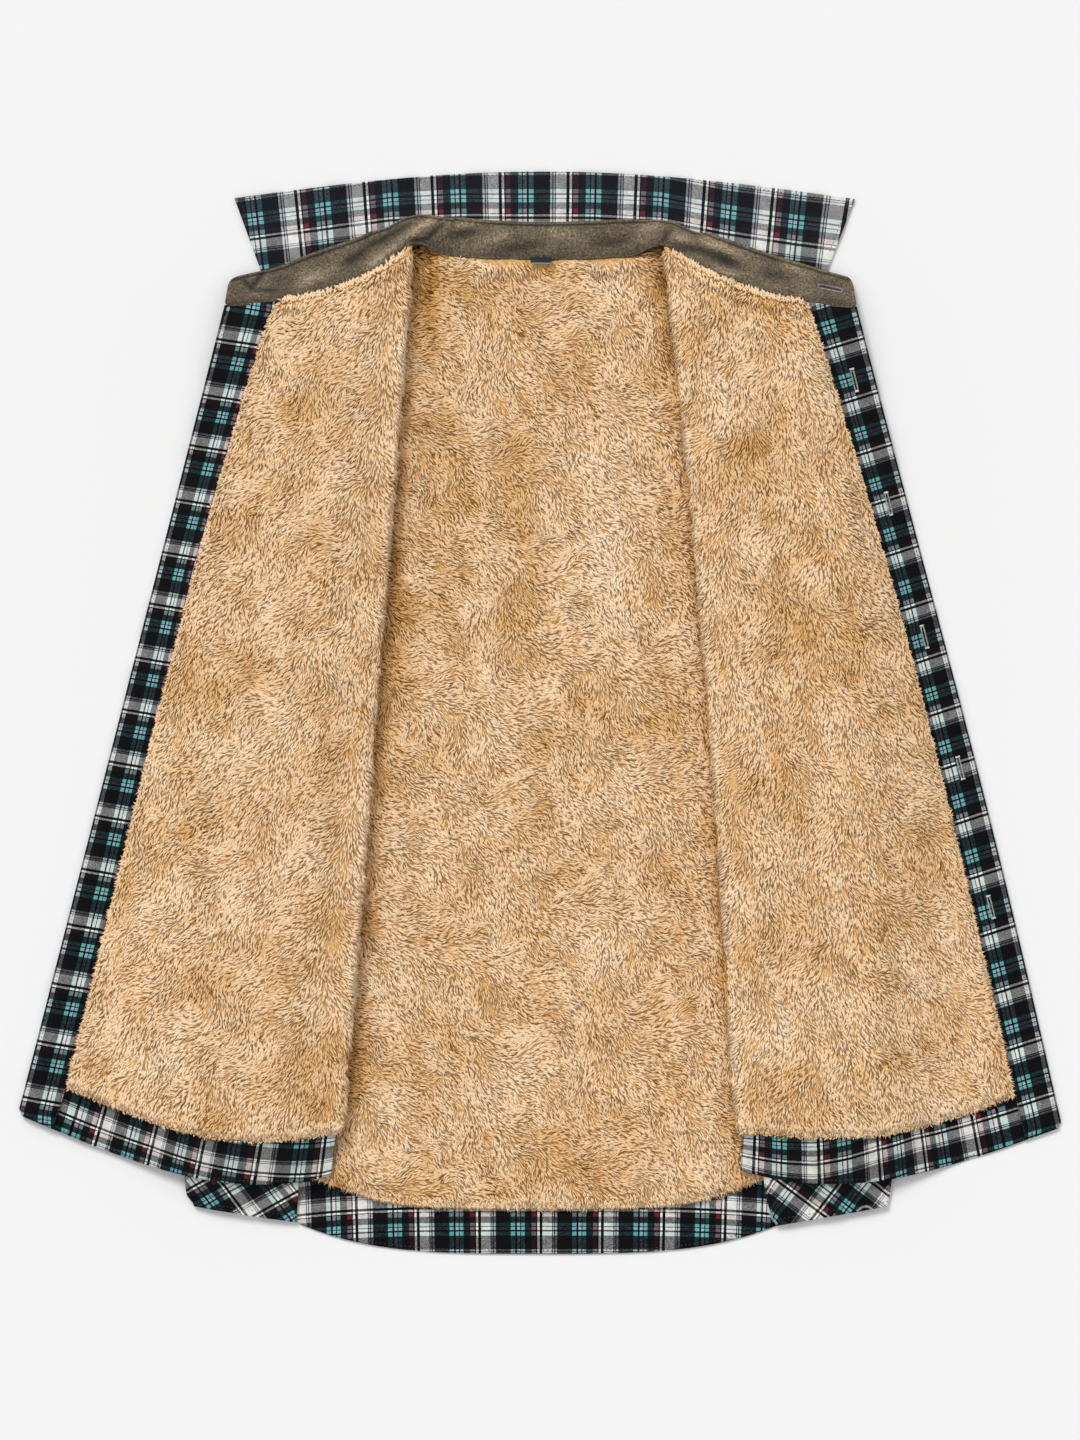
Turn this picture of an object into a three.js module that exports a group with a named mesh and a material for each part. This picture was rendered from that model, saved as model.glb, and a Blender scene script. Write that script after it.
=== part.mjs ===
// A plaid overshirt with a plush lining, laid open on its back with both fronts turned outwards.
// Millimetres, +Z up, +Y towards the collar. Left and right are the wearer's, so the right front lies
// at -X. The origin is on the table under the middle of the whole garment.

import * as THREE from 'three';

// ---------------------------------------------------------------- cloth and layers

const GAP = 0.3; // between pieces that touch or are sewn together
const SEAM_GAP = 0.95; // along the curved neck seam, whose two edges are faceted differently
const CLOTH = 1.2; // flannel wall
const BACK_PILE = 6.5; // plush lining of the back
const FRONT_PILE = 6; // plush lining of the fronts
const TRIM = 2.4; // doubled and interfaced cloth of the collar, its band and the cuffs
const FOLD_GAP = 1.6; // inside the turned front, shell to shell, at the fold
const SLEEVE_RISE = 6.2; // extra room that the hidden sleeve takes inside the turned front
const SLEEVE_FULL = 6.6; // thickest part of the folded sleeve
const SLEEVE_THIN = 1; // the sleeve's thickness at its own edges

const BACK_TOP = CLOTH + GAP + BACK_PILE;
const SHELL_IN = FOLD_GAP / 2; // radii of the turned front about its fold
const SHELL_OUT = SHELL_IN + CLOTH;
const PILE_IN = SHELL_OUT + GAP;
const PILE_OUT = PILE_IN + FRONT_PILE;
const FOLD_HEIGHT = BACK_TOP + GAP + PILE_OUT; // middle of the fold, above the table
const HEM_FOLD_HEIGHT = BACK_TOP + GAP + SHELL_OUT; // the same at the hem, where the lining has ended
const SEAM_PILE = 0.4; // share of its thickness that the pile keeps where it is sewn in
const CUT_PILE = 0.6; // and where it is cut, along the front edges and above the hem
const BEND = 0.985; // share of a lining's length at which it starts to thin towards its foot

// ---------------------------------------------------------------- outlines

// out: distance from the centre line, up: height on the table plan. Each edge is a straight line
// between its two ends with a smooth bow, and peak says how far along the bow is widest.
const FRONTS = [
  {
    name: 'right', side: -1, buttonRoom: 3.2,
    neckPoint: { out: 92.5, up: 346.5 }, neckFront: { out: 233, up: 301 },
    neckline: { bow: -14.8, peak: 0.45 }, pileShareAtNeck: 0.735,
    pileFold: { out: 143.5, up: -308 }, foldEdge: { bow: 0, peak: 0.5 },
    pileCorner: { out: 350, up: -277 }, pileEdge: { bow: 7.6, peak: 0.34 },
    pileHem: { bow: -19.6, peak: 0.46 }, bandCorner: { out: 377.7, up: -264 },
    hemFold: { out: 147, up: -337.6 }, hemCorner: { out: 386.3, up: -297 },
    hem: { bow: -24, peak: 0.4 }, frontEdge: { bow: 0, peak: 0.5 }, pileShareAtHem: 0.885,
  },
  {
    name: 'left', side: 1, buttonRoom: 0,
    neckPoint: { out: 89.5, up: 345 }, neckFront: { out: 234, up: 300 },
    neckline: { bow: -12.6, peak: 0.5 }, pileShareAtNeck: 0.752,
    pileFold: { out: 143.5, up: -309.6 }, foldEdge: { bow: 5.2, peak: 0.42 },
    pileCorner: { out: 351, up: -283 }, pileEdge: { bow: 8.9, peak: 0.44 },
    pileHem: { bow: -15.4, peak: 0.53 }, bandCorner: { out: 378.6, up: -273 },
    hemFold: { out: 141.3, up: -334.5 }, hemCorner: { out: 386.3, up: -306.4 },
    hem: { bow: -23.8, peak: 0.42 }, frontEdge: { bow: 3.2, peak: 0.62 }, pileShareAtHem: 0.885,
  },
];

// The hidden side of each front and of the back, from the shoulder to the side seam's foot.
// wide: from the fold to the armhole or side seam, half: from the centre line to the back's own edge.
const SIDES = [
  { along: 0, wide: 134, half: 222 },
  { along: 0.12, wide: 122, half: 214 },
  { along: 0.28, wide: 130, half: 226 },
  { along: 0.6, wide: 124, half: 240 },
  { along: 1, wide: 112, half: 256 },
];

// Where the hidden sleeve lifts the turned front, from the fold, from the neck and to the hem.
const LIFT = { start: 14, ramp: 26, atNeck: 0.35, neckRun: 0.1, footFrom: 1.2, footRun: 0.8 };
const FALL = { before: 12, after: 62 }; // about the side seam, where the turned front comes down
const EDGE_REST = 0.4; // share of the front edge that hangs off the shoulder before it meets the table
const SHOULDER_EDGE = 9; // height of the front edge at the neck
const BUTTON_RAMP = 8; // from the front edge, on the table, up to where it lies on the buttons
const SEAM_SQUASH = 0.45; // share of its height that the lower leaf keeps at the side seam
const SQUASH_FROM = 0.6; // and the share of its width where that starts
const DRAWN_UP = { run: 22, lining: 0.1, band: 0.96 }; // how the lower leaf's hem climbs from the fold
const FACING_WIDE = 28; // narrowest part of a front facing

const BACK = {
  neckDip: 11.3, shoulderTuck: 7, // the back's neckline below the neck points, and its hidden shoulders
  sideFoot: 323, hemDrop: 400.3, // from the plan's middle line down to the hem's ends and its middle
  hemFullness: 3.45, band: 33, // how square the hem's curve is, and the plain cloth below the lining
};

const COLLAR = {
  rightTip: { out: 226, up: 380.6 }, leftTip: { out: 233, up: 380 }, bow: 20,
  rightRoot: { out: 205.7, up: 327.6 }, leftRoot: { out: 211, up: 326.2 }, overlap: 6,
  from: 0.062, to: 0.938, freeEnd: 0.05, // share of the band it is sewn to, and of its own loose ends
};

// The band follows the whole neckline. at: share of its length from the wearer's right end,
// high: its height there, lean: how far its top edge leads along.
const BAND = [
  { at: 0, high: 18.3, lean: 0.2 },
  { at: 0.03, high: 21, lean: -0.05 },
  { at: 0.1, high: 25.6, lean: -0.2 },
  { at: 0.15, high: 30.4, lean: -0.17 },
  { at: 0.2, high: 31.1, lean: -0.1 },
  { at: 0.25, high: 27.9, lean: -0.02 },
  { at: 0.28, high: 25.6, lean: 0.03 },
  { at: 0.3, high: 18.9, lean: 0.05 },
  { at: 0.35, high: 26.6, lean: 0.03 },
  { at: 0.4, high: 27.9, lean: 0 },
  { at: 0.5, high: 26.7, lean: 0 },
  { at: 0.6, high: 27, lean: 0 },
  { at: 0.65, high: 24.3, lean: 0.04 },
  { at: 0.68, high: 17.8, lean: 0.08 },
  { at: 0.7, high: 18.8, lean: 0.1 },
  { at: 0.72, high: 24.2, lean: 0.1 },
  { at: 0.75, high: 27.4, lean: 0.1 },
  { at: 0.8, high: 30, lean: 0.1 },
  { at: 0.85, high: 30.1, lean: 0.16 },
  { at: 0.9, high: 27.9, lean: 0.2 },
  { at: 0.97, high: 22.4, lean: 0.05 },
  { at: 1, high: 20.4, lean: -0.2 },
];
const NECK_LIFT = 2.2; // the band's sewn edge above the table at the back of the neck
const NECK_TURN = 26; // run of the neckline over which the band climbs onto the turned front
const NECK_CORNER = { lift: 0.8, run: 20 }; // the seam eased upwards at each neck point
const BAND_SAG = 0.92; // how soon the band comes down onto the collar
const BAND_HIGH = 27; // its usual height

// A sleeve, folded lengthwise inside the turned front, by its inner and outer edges.
const SLEEVE = [
  { up: 298, inner: 124, outer: 208 },
  { up: 230, inner: 126, outer: 212 },
  { up: 120, inner: 134, outer: 228 },
  { up: -120, inner: 152, outer: 242 },
  { up: -303, inner: 172, outer: 256 },
];
const CAP = { start: 0.3, rate: 12 }; // how its thickness grows from the shoulder

const CUFF_CLOTH = 1.9; // doubled cloth of a cuff
const CUFF_SLIT = 0.5; // between its two flattened sides

// The cuff goes on from the sleeve and comes down onto the back's hem. high: its underside.
const CUFF = [
  { along: 0, high: 16.1 },
  { along: 0.17, high: 13.5 },
  { along: 0.46, high: 9 },
  { along: 0.62, high: 6 },
  { along: 0.76, high: 2.3 },
  { along: 1, high: 1.5 },
];
const CUFFS = [
  { name: 'right', side: -1, root: [176, 255], rootUp: -303.3, mouth: [180, 262], mouthUp: [-377, -365] },
  { name: 'left', side: 1, root: [166, 254], rootUp: -303.3, mouth: [175, 259], mouthUp: [-379.5, -365] },
];

const BUTTON = {
  radius: 5.6, thick: 2.2, shank: 0.5, inset: 15.5, rows: [0.094, 0.252, 0.42, 0.591, 0.769],
};
const BUTTON_RUN = 600; // length of the front edge from the neck to the lining's foot
const BAND_BUTTON = { at: 0.045, up: 0.66, shank: 1.4 };
const LABEL = { wide: 15.5, tall: 3.2, thick: 0.9, out: 0.8, sunk: 2.1 }; // sunk: beside the flattened pile

// ---------------------------------------------------------------- curves

const lerp = (a, b, t) => a + (b - a) * t;
const mix = (p, q, t) => [lerp(p[0], q[0], t), lerp(p[1], q[1], t)];
const clamp = (t) => Math.min(1, Math.max(0, t));
const smooth = (t) => clamp(t) ** 2 * (3 - 2 * clamp(t));
const range = (n) => Array.from({ length: n + 1 }, (_, i) => i / n);

// A smooth curve through one column of a table, by another column.
function column(rows, key, by) {
  const points = rows.map((row) => new THREE.Vector2(row[by], row[key])).sort((p, q) => p.x - q.x);
  return (t) => {
    let i = points.findIndex((p) => p.x > t) - 1;
    if (i < 0) i = t < points[0].x ? 0 : points.length - 2;
    const [a, b] = [points[i], points[i + 1]];
    const slope = (k) => {
      const [p, q] = [points[Math.max(0, k - 1)], points[Math.min(points.length - 1, k + 1)]];
      return (q.y - p.y) / (q.x - p.x);
    };
    const w = b.x - a.x;
    const s = clamp((t - a.x) / w);
    const ease = s * s * (3 - 2 * s);
    return lerp(a.y, b.y, ease) + w * s * (1 - s) * ((1 - s) * slope(i) - s * slope(i + 1));
  };
}

// A straight line from p to q, bowed sideways (to its left when positive), widest at peak.
function bowed(p, q, { bow, peak }) {
  const run = [q[0] - p[0], q[1] - p[1]];
  const length = Math.hypot(...run);
  const skew = Math.log(0.5) / Math.log(peak);
  return (t) => {
    const off = bow * Math.sin(Math.PI * clamp(t) ** skew);
    const at = mix(p, q, t);
    return [at[0] - (run[1] / length) * off, at[1] + (run[0] / length) * off];
  };
}

const spot = ({ out, up }) => [out, up];

// ---------------------------------------------------------------- closed walls

// A closed wall between two faces of the same grid; outer and inner give a point for (column, row).
// A tube closes on itself across its columns.
function wall(columns, rows, outer, inner, tube = false) {
  const wide = columns.length;
  const tall = rows.length;
  const faces = [outer, inner].map((face) => rows.map((v) => columns.map((u) => face(u, v))));
  const position = faces.flat(2).flatMap((p) => [p.x, p.y, p.z]);
  const at = (face, i, j) => face * wide * tall + j * wide + (i % wide);
  const index = [];
  const quad = (a, b, c, d) => index.push(a, b, c, a, c, d);
  const across = tube ? wide : wide - 1;
  for (let j = 0; j < tall - 1; j++) {
    for (let i = 0; i < across; i++) {
      quad(at(0, i, j), at(0, i + 1, j), at(0, i + 1, j + 1), at(0, i, j + 1));
      quad(at(1, i, j), at(1, i, j + 1), at(1, i + 1, j + 1), at(1, i + 1, j));
    }
    if (!tube) {
      quad(at(0, 0, j), at(0, 0, j + 1), at(1, 0, j + 1), at(1, 0, j));
      quad(at(0, wide - 1, j + 1), at(0, wide - 1, j), at(1, wide - 1, j), at(1, wide - 1, j + 1));
    }
  }
  for (let i = 0; i < across; i++) {
    quad(at(0, i + 1, 0), at(0, i, 0), at(1, i, 0), at(1, i + 1, 0));
    quad(at(0, i, tall - 1), at(0, i + 1, tall - 1), at(1, i + 1, tall - 1), at(1, i, tall - 1));
  }
  if (volume(position, index) < 0) index.reverse();
  const geometry = new THREE.BufferGeometry();
  geometry.setAttribute('position', new THREE.Float32BufferAttribute(position, 3));
  geometry.setIndex(index);
  return geometry;
}

function volume(position, index) {
  const corner = (k) => new THREE.Vector3().fromArray(position, index[k] * 3);
  let total = 0;
  for (let k = 0; k < index.length; k += 3) {
    total += corner(k).dot(corner(k + 1).cross(corner(k + 2)));
  }
  return total / 6;
}

// ---------------------------------------------------------------- materials

const cloths = {
  flannel: { color: 0x2c3338, roughness: 0.95 },
  plush: { color: 0xd9b27c, roughness: 1 },
  twill: { color: 0x6e6650, roughness: 0.9 },
  label: { color: 0x22242a, roughness: 0.8 },
  button: { color: 0x1d1c1a, roughness: 0.4 },
};

const garment = new THREE.Group();

function add(name, geometry, cloth) {
  const piece = new THREE.Mesh(geometry, new THREE.MeshStandardMaterial({ ...cloths[cloth], metalness: 0 }));
  piece.name = name;
  garment.add(piece);
  return piece;
}

// ---------------------------------------------------------------- a turned front

// The plan of a front as it lies. u: 0 at the fold, 1 at the lining's edge, 2 at the front edge.
// v: 0 at the neckline, 1 at the lining's foot, 2 at the hem.
function frontPlan(f) {
  const neck = bowed(spot(f.neckPoint), spot(f.neckFront), f.neckline);
  const hem = bowed(spot(f.hemFold), spot(f.hemCorner), f.hem);
  const pileHem = bowed(spot(f.pileFold), spot(f.pileCorner), f.pileHem);
  const pileTop = neck(f.pileShareAtNeck);
  const pileEnd = hem(f.pileShareAtHem);
  const rail = (top, foot, end, bow) => {
    const upper = bowed(top, foot, bow);
    return (v) => (v <= 1 ? upper(v) : mix(foot, end, v - 1));
  };
  const fold = rail(spot(f.neckPoint), spot(f.pileFold), spot(f.hemFold), f.foldEdge);
  const pileEdge = rail(pileTop, spot(f.pileCorner), pileEnd, f.pileEdge);
  const edge = rail(spot(f.neckFront), spot(f.bandCorner), spot(f.hemCorner), f.frontEdge);
  const straight = (u, v) => (u <= 1 ? mix(fold(v), pileEdge(v), u) : mix(pileEdge(v), edge(v), u - 1));
  const share = (u, atPile) => (u <= 1 ? u * atPile : lerp(atPile, 1, u - 1));
  const off = (p, q) => [p[0] - q[0], p[1] - q[1]];
  const drift = [
    (u) => off(neck(share(u, f.pileShareAtNeck)), straight(u, 0)),
    (u) => (u <= 1 ? off(pileHem(u), straight(u, 1)) : [0, 0]),
    (u) => off(hem(share(u, f.pileShareAtHem)), straight(u, 2)),
  ];
  const plan = (u, v) => {
    const cell = v <= 1 ? 0 : 1;
    const shift = mix(drift[cell](u), drift[cell + 1](u), v - cell);
    const at = straight(u, v);
    return [at[0] + shift[0], at[1] + shift[1]];
  };
  const distance = (p, q) => Math.hypot(p[0] - q[0], p[1] - q[1]);
  return {
    plan,
    pileWidth: (v) => distance(fold(v), pileEdge(v)),
    bandWidth: (v) => distance(pileEdge(v), edge(v)),
  };
}

const sideWidth = column(SIDES, 'wide', 'along');
const foldHeight = (v) => lerp(FOLD_HEIGHT, HEM_FOLD_HEIGHT, smooth(v - 1));

// Height of the underside of the turned front, a from the fold and b in from the front edge.
function underside(f, a, b, v) {
  const seam = sideWidth(v);
  const { start: liftStart, ramp, atNeck: neckShare, neckRun, footFrom, footRun } = LIFT;
  const alongSleeve = smooth(neckShare + v / neckRun) * (1 - smooth((v - footFrom) / footRun));
  const room = SLEEVE_RISE * smooth((a - liftStart) / ramp) * alongSleeve;
  const resting = f.buttonRoom * smooth(b / BUTTON_RAMP);
  const edge = SHOULDER_EDGE * (1 - clamp(v / EDGE_REST)) ** 2 + resting * clamp(v / EDGE_REST);
  const plateau = foldHeight(v) + SHELL_IN + room;
  const full = a + b;
  const start = seam - FALL.before;
  const end = Math.min(seam + FALL.after, full);
  return lerp(plateau, edge, smooth((a - start) / (end - start)));
}

// The lower leaf thins towards its side seam, and its hem climbs away from the fold.
const squash = (share) => lerp(1, SEAM_SQUASH, smooth((share - SQUASH_FROM) / (1 - SQUASH_FROM)));
const lowerRow = (a, v) => {
  const climb = smooth(a / DRAWN_UP.run);
  const lined = Math.min(v, 1) * (1 - DRAWN_UP.lining * climb);
  return lined + Math.max(0, v - 1) * (1 - DRAWN_UP.band * climb);
};

// One face of the turned front, at a radius about its fold. The column c runs from the front edge
// (2) over the fold (0 to -1) to the side seam (-2).
function turned(f, shape, radius, thickness) {
  return (c, v) => {
    if (c >= 0) {
      const reach = shape.pileWidth(v);
      const start = PILE_OUT / reach;
      const u = c <= 1 ? lerp(start, 1, c) : c;
      const a = u <= 1 ? u * reach : reach + (u - 1) * shape.bandWidth(v);
      const b = reach + shape.bandWidth(v) - a;
      const z = underside(f, a, b, v) + (radius - SHELL_IN) * thickness(u, v);
      const [x, y] = shape.plan(u, v);
      return new THREE.Vector3(f.side * x, y, z);
    }
    if (c > -1) {
      const turn = Math.PI * (0.5 + c);
      const a = PILE_OUT - radius * Math.cos(turn);
      const [x, y] = shape.plan(a / shape.pileWidth(v), v);
      return new THREE.Vector3(f.side * x, y, foldHeight(v) + radius * Math.sin(turn));
    }
    const share = -c - 1;
    const a = lerp(PILE_OUT, sideWidth(Math.min(v, 1)), share);
    const row = lowerRow(a - PILE_OUT, v);
    const floor = foldHeight(row) - (row <= 1 ? PILE_OUT : lerp(PILE_OUT, SHELL_OUT, smooth(row - 1)));
    const z = floor + (foldHeight(row) - radius - floor) * squash(share);
    const [x, y] = shape.plan(a / shape.pileWidth(row), row);
    return new THREE.Vector3(f.side * x, y, z);
  };
}

const PILE_RIM = 0.97; // share of the lining's width at which it starts to thin towards its edge
const NECK_RIM = 0.012; // the same along its length, at the neck
const UPPER = [2, 1.75, 1.5, 1.25, 1, PILE_RIM, 0.86, 0.74, 0.62, 0.5, 0.38, 0.26, 0.16, 0.08, 0];
const ROLL = [-0.25, -0.5, -0.75, -1];
const LOWER = [-1.25, -1.6, -1.8, -2];
const LINED_ROWS = [0, NECK_RIM, 0.08, 0.16, 0.25, 0.34, 0.45, 0.56, 0.67, 0.78, 0.89, BEND, 1];
const ROWS = [...LINED_ROWS, 1.33, 1.67, 2];
const plain = () => 1;
const atNeck = (v) => lerp(SEAM_PILE, 1, smooth(v / NECK_RIM));
const atFoot = (v) => lerp(1, CUT_PILE, smooth((v - BEND) / (1 - BEND)));
const atEdge = (u) => lerp(1, CUT_PILE, smooth((u - PILE_RIM) / (1 - PILE_RIM)));
// The pile's thickness at a face, given as a share of the radius that the face would have.
const pileFace = (u, v) => {
  const under = PILE_IN - SHELL_IN;
  return (under + FRONT_PILE * atNeck(v) * atFoot(v) * atEdge(u)) / (under + FRONT_PILE);
};

for (const f of FRONTS) {
  const shape = frontPlan(f);
  const shellColumns = [...UPPER, ...ROLL, ...LOWER];
  const shellFace = (radius) => turned(f, shape, radius, plain);
  add(`front_${f.name}`, wall(shellColumns, ROWS, shellFace(SHELL_OUT), shellFace(SHELL_IN)), 'flannel');

  const pileColumns = shellColumns.filter((c) => c <= 1);
  const pileOuter = turned(f, shape, PILE_OUT, pileFace);
  add(`front_lining_${f.name}`, wall(pileColumns, LINED_ROWS, pileOuter, shellFace(PILE_IN)), 'plush');

  const clearOfPile = 1 + GAP / FACING_WIDE;
  const facingColumns = [2, 1.75, 1.5, 1.25, clearOfPile];
  const facing = wall(facingColumns, ROWS, shellFace(PILE_IN + CLOTH), shellFace(PILE_IN));
  add(`front_facing_${f.name}`, facing, 'flannel');
}

// ---------------------------------------------------------------- buttons

// A button seated under a cloth face; cloth(across, down) gives a point of it, in mm from the seat.
function seatButton(name, cloth, shank) {
  const { radius, thick } = BUTTON;
  const across = cloth(radius, 0).sub(cloth(-radius, 0));
  const down = cloth(0, radius).sub(cloth(0, -radius));
  const away = across.cross(down).normalize();
  if (away.z > 0) away.negate();
  const disc = new THREE.CylinderGeometry(radius, radius, thick, 16).rotateX(Math.PI / 2);
  const button = add(name, disc, 'button');
  button.position.copy(cloth(0, 0)).addScaledVector(away, thick / 2 + shank);
  button.quaternion.setFromUnitVectors(new THREE.Vector3(0, 0, -1), away);
}

// They are sewn to the right front's outside, so they lie under its facing, one to each buttonhole.
function buttons() {
  const front = FRONTS[0];
  const shape = frontPlan(front);
  const cloth = turned(front, shape, SHELL_IN, plain);
  BUTTON.rows.forEach((v, k) => {
    const inward = (inset) => 2 - (BUTTON.inset + inset) / shape.bandWidth(v);
    seatButton(`button_${k + 1}`, (x, y) => cloth(inward(x), v + y / BUTTON_RUN), BUTTON.shank);
  });
}

buttons();

// ---------------------------------------------------------------- back

const halfWidth = column(SIDES, 'half', 'along');

function backPlan() {
  const [right, left] = FRONTS.map(frontPlan);
  const neckPoint = spot(FRONTS[0].neckPoint);
  const topAt = (s) => {
    const out = Math.abs(s) * halfWidth(0);
    if (out <= neckPoint[0]) {
      return neckPoint[1] - BACK.neckDip * Math.cos((Math.PI / 2) * (out / neckPoint[0]) ** 2);
    }
    const shape = s < 0 ? right : left;
    const share = (out - neckPoint[0]) / shape.pileWidth(0);
    return shape.plan(share, 0)[1] - BACK.shoulderTuck * smooth(share * 4);
  };
  const hemAt = (s) => -lerp(BACK.hemDrop, BACK.sideFoot, Math.abs(s) ** BACK.hemFullness);
  // s: -1 to 1 across, v: 0 at the neck, 1 at the lining's foot, 2 at the hem
  return (s, v) => {
    const foot = hemAt(s) + BACK.band;
    const y = v <= 1 ? lerp(topAt(s), foot, v) : lerp(foot, hemAt(s), v - 1);
    return [s * halfWidth(Math.min(v, 1)), y];
  };
}

function back() {
  const plan = backPlan();
  const face = (height) => (s, v) => {
    const [x, y] = plan(s, v);
    return new THREE.Vector3(x, y, height(v));
  };
  const across = [-1, -0.9, -0.72, -0.56, -0.42, -0.28, -0.14, 0, 0.14, 0.28, 0.42, 0.56, 0.72, 0.9, 1];
  const rows = [0, NECK_RIM, 0.1, 0.28, 0.5, 0.75, BEND, 1];
  add('back', wall(across, [...rows, 1.5, 2], face(() => CLOTH), face(() => 0)), 'flannel');
  const pile = (v) => CLOTH + GAP + BACK_PILE * atNeck(v) * atFoot(v);
  add('back_lining', wall(across, rows, face(pile), face(() => CLOTH + GAP)), 'plush');
  return plan;
}

const backShape = back();

// ---------------------------------------------------------------- neckline, band and collar

// The sewn edge of the band, one smooth run over right front, back and left front.
function neckline() {
  const [right, left] = FRONTS;
  const front = (f) => bowed(spot(f.neckPoint), spot(f.neckFront), f.neckline);
  const width = halfWidth(0);
  const { lift, run } = NECK_CORNER;
  const corner = (x) => lift * (1 - smooth((Math.abs(x) - right.neckPoint.out) / run));
  const points = [
    ...range(8).map((t) => front(right)(1 - t)).map(([x, y]) => new THREE.Vector2(-x, y + corner(-x))),
    ...range(8).slice(1, -1).map((t) => lerp(-right.neckPoint.out, left.neckPoint.out, t))
      .map((x) => new THREE.Vector2(x, backShape(x / width, 0)[1])),
    ...range(8).map((t) => front(left)(t)).map(([x, y]) => new THREE.Vector2(x, y + corner(x))),
  ];
  return new THREE.SplineCurve(points);
}

// Height of the band's sewn edge: low at the back of the neck, level with the cloth of each front.
function seamHeight([x, y]) {
  const front = FRONTS[x < 0 ? 0 : 1];
  const [out, up] = spot(front.neckPoint);
  const shape = frontPlan(front);
  const full = shape.pileWidth(0) + shape.bandWidth(0);
  const a = Math.max(PILE_OUT, Math.abs(x) < out ? 0 : Math.hypot(Math.abs(x) - out, y - up));
  const climb = smooth(1 - (out - Math.abs(x)) / NECK_TURN);
  return lerp(NECK_LIFT, underside(front, Math.min(a, full), Math.max(0, full - a), 0), climb);
}

function band() {
  const seam = neckline();
  const high = column(BAND, 'high', 'at');
  const lean = column(BAND, 'lean', 'at');
  const place = (s, n) => {
    const at = seam.getPointAt(clamp(s));
    const along = seam.getTangentAt(clamp(s));
    const rise = n * high(s) + SEAM_GAP;
    const side = rise * lean(s);
    return [at.x - along.y * rise + along.x * side, at.y + along.x * rise + along.y * side];
  };
  const height = (s, n) => {
    const { x, y } = seam.getPointAt(clamp(s));
    return lerp(seamHeight([x, y]), TRIM + GAP, smooth(n * BAND_SAG));
  };
  const face = (thick) => (s, n) => {
    const [x, y] = place(s, n);
    return new THREE.Vector3(x, y, height(s, n) + thick);
  };
  add('collar_band', wall(range(40), [0, 0.3, 0.6, 0.85, 1], face(TRIM), face(0)), 'twill');

  const { at, up, shank } = BAND_BUTTON;
  seatButton('button_band', (x, y) => face(0)(at + x / seam.getLength(), up + y / high(at)), shank);
  return place;
}

const bandPlace = band();

function collar() {
  const { rightTip, leftTip, rightRoot, leftRoot, bow, overlap, from, to, freeEnd } = COLLAR;
  const top = bowed([-rightTip.out, rightTip.up], [leftTip.out, leftTip.up], { bow, peak: 0.5 });
  const root = (t) => {
    const sewn = bandPlace(lerp(from, to, t), 1 - overlap / BAND_HIGH);
    const ends = mix([-rightRoot.out, rightRoot.up], [leftRoot.out, leftRoot.up], t);
    const free = 1 - smooth(Math.min(t, 1 - t) / freeEnd);
    return mix(sewn, [ends[0], ends[1] - overlap / 2], free);
  };
  const face = (z) => (t, n) => {
    const [x, y] = mix(root(t), top(t), n);
    return new THREE.Vector3(x, y, z);
  };
  add('collar', wall(range(28), [0, 0.35, 0.7, 1], face(TRIM), face(0)), 'flannel');
}

collar();

// It hangs from the neck seam over the back's lining.
function label() {
  const [, seam] = backShape(0, 0);
  const tag = new THREE.BoxGeometry(LABEL.wide, LABEL.tall, LABEL.thick);
  const piece = add('neck_label', tag, 'label');
  const middle = BACK_TOP + GAP - LABEL.sunk + LABEL.thick / 2;
  piece.position.set(LABEL.out, seam - GAP - LABEL.tall / 2, middle);
}

label();

// ---------------------------------------------------------------- sleeves and cuffs

function sleeve({ name, side }) {
  const inner = column(SLEEVE, 'inner', 'up');
  const outer = column(SLEEVE, 'outer', 'up');
  const top = SLEEVE[0].up;
  const foot = SLEEVE[SLEEVE.length - 1].up;
  const low = FOLD_HEIGHT - SHELL_IN + GAP;
  const face = (upper) => (t, v) => {
    const y = lerp(top, foot, v);
    const x = lerp(inner(y), outer(y), t);
    const crown = (1 - Math.abs(2 * t - 1) ** 4) * smooth(CAP.start + v * CAP.rate);
    const thick = lerp(SLEEVE_THIN, SLEEVE_FULL, crown);
    return new THREE.Vector3(side * x, y, low + (upper ? thick : 0));
  };
  const columns = [0, 0.06, 0.16, 0.32, 0.5, 0.68, 0.84, 0.94, 1];
  add(`sleeve_${name}`, wall(columns, [0, 0.03, 0.1, 0.3, 0.5, 0.75, 1], face(true), face(false)), 'flannel');
}

// A flattened tube with an open mouth: 0 to 1 goes once round it.
function cuff({ name, side, root, rootUp, mouth, mouthUp }) {
  const high = column(CUFF, 'high', 'along');
  const face = (inset) => (t, v) => {
    const across = 0.5 - 0.5 * Math.cos(2 * Math.PI * t);
    const over = t < 0.5 ? 1 : -1;
    const flat = clamp(6 * Math.min(across, 1 - across)) ** 0.5;
    const left = lerp(root[0], mouth[0], v);
    const right = lerp(root[1], mouth[1], v);
    const x = lerp(left + inset, right - inset, across);
    const y = lerp(rootUp, lerp(mouthUp[0], mouthUp[1], across), v);
    const middle = CUFF_CLOTH + CUFF_SLIT / 2;
    return new THREE.Vector3(side * x, y, high(v) + middle + over * (middle - inset) * flat);
  };
  const round = range(16).slice(0, -1);
  const rows = CUFF.map((row) => row.along);
  add(`cuff_${name}`, wall(round, rows, face(0), face(CUFF_CLOTH), true), 'flannel');
}

FRONTS.forEach(sleeve);
CUFFS.forEach(cuff);

export default garment;
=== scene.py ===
"""A plaid overshirt with a plush lining, laid open on its back with both fronts turned outwards.

Cloth is cut as grids that are laid over the same curves as the part, in millimetres until they
become meshes. The plush is locks of pile rooted in a low backing. Left and right are the wearer's,
so the right front lies at -X.
"""

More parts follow.
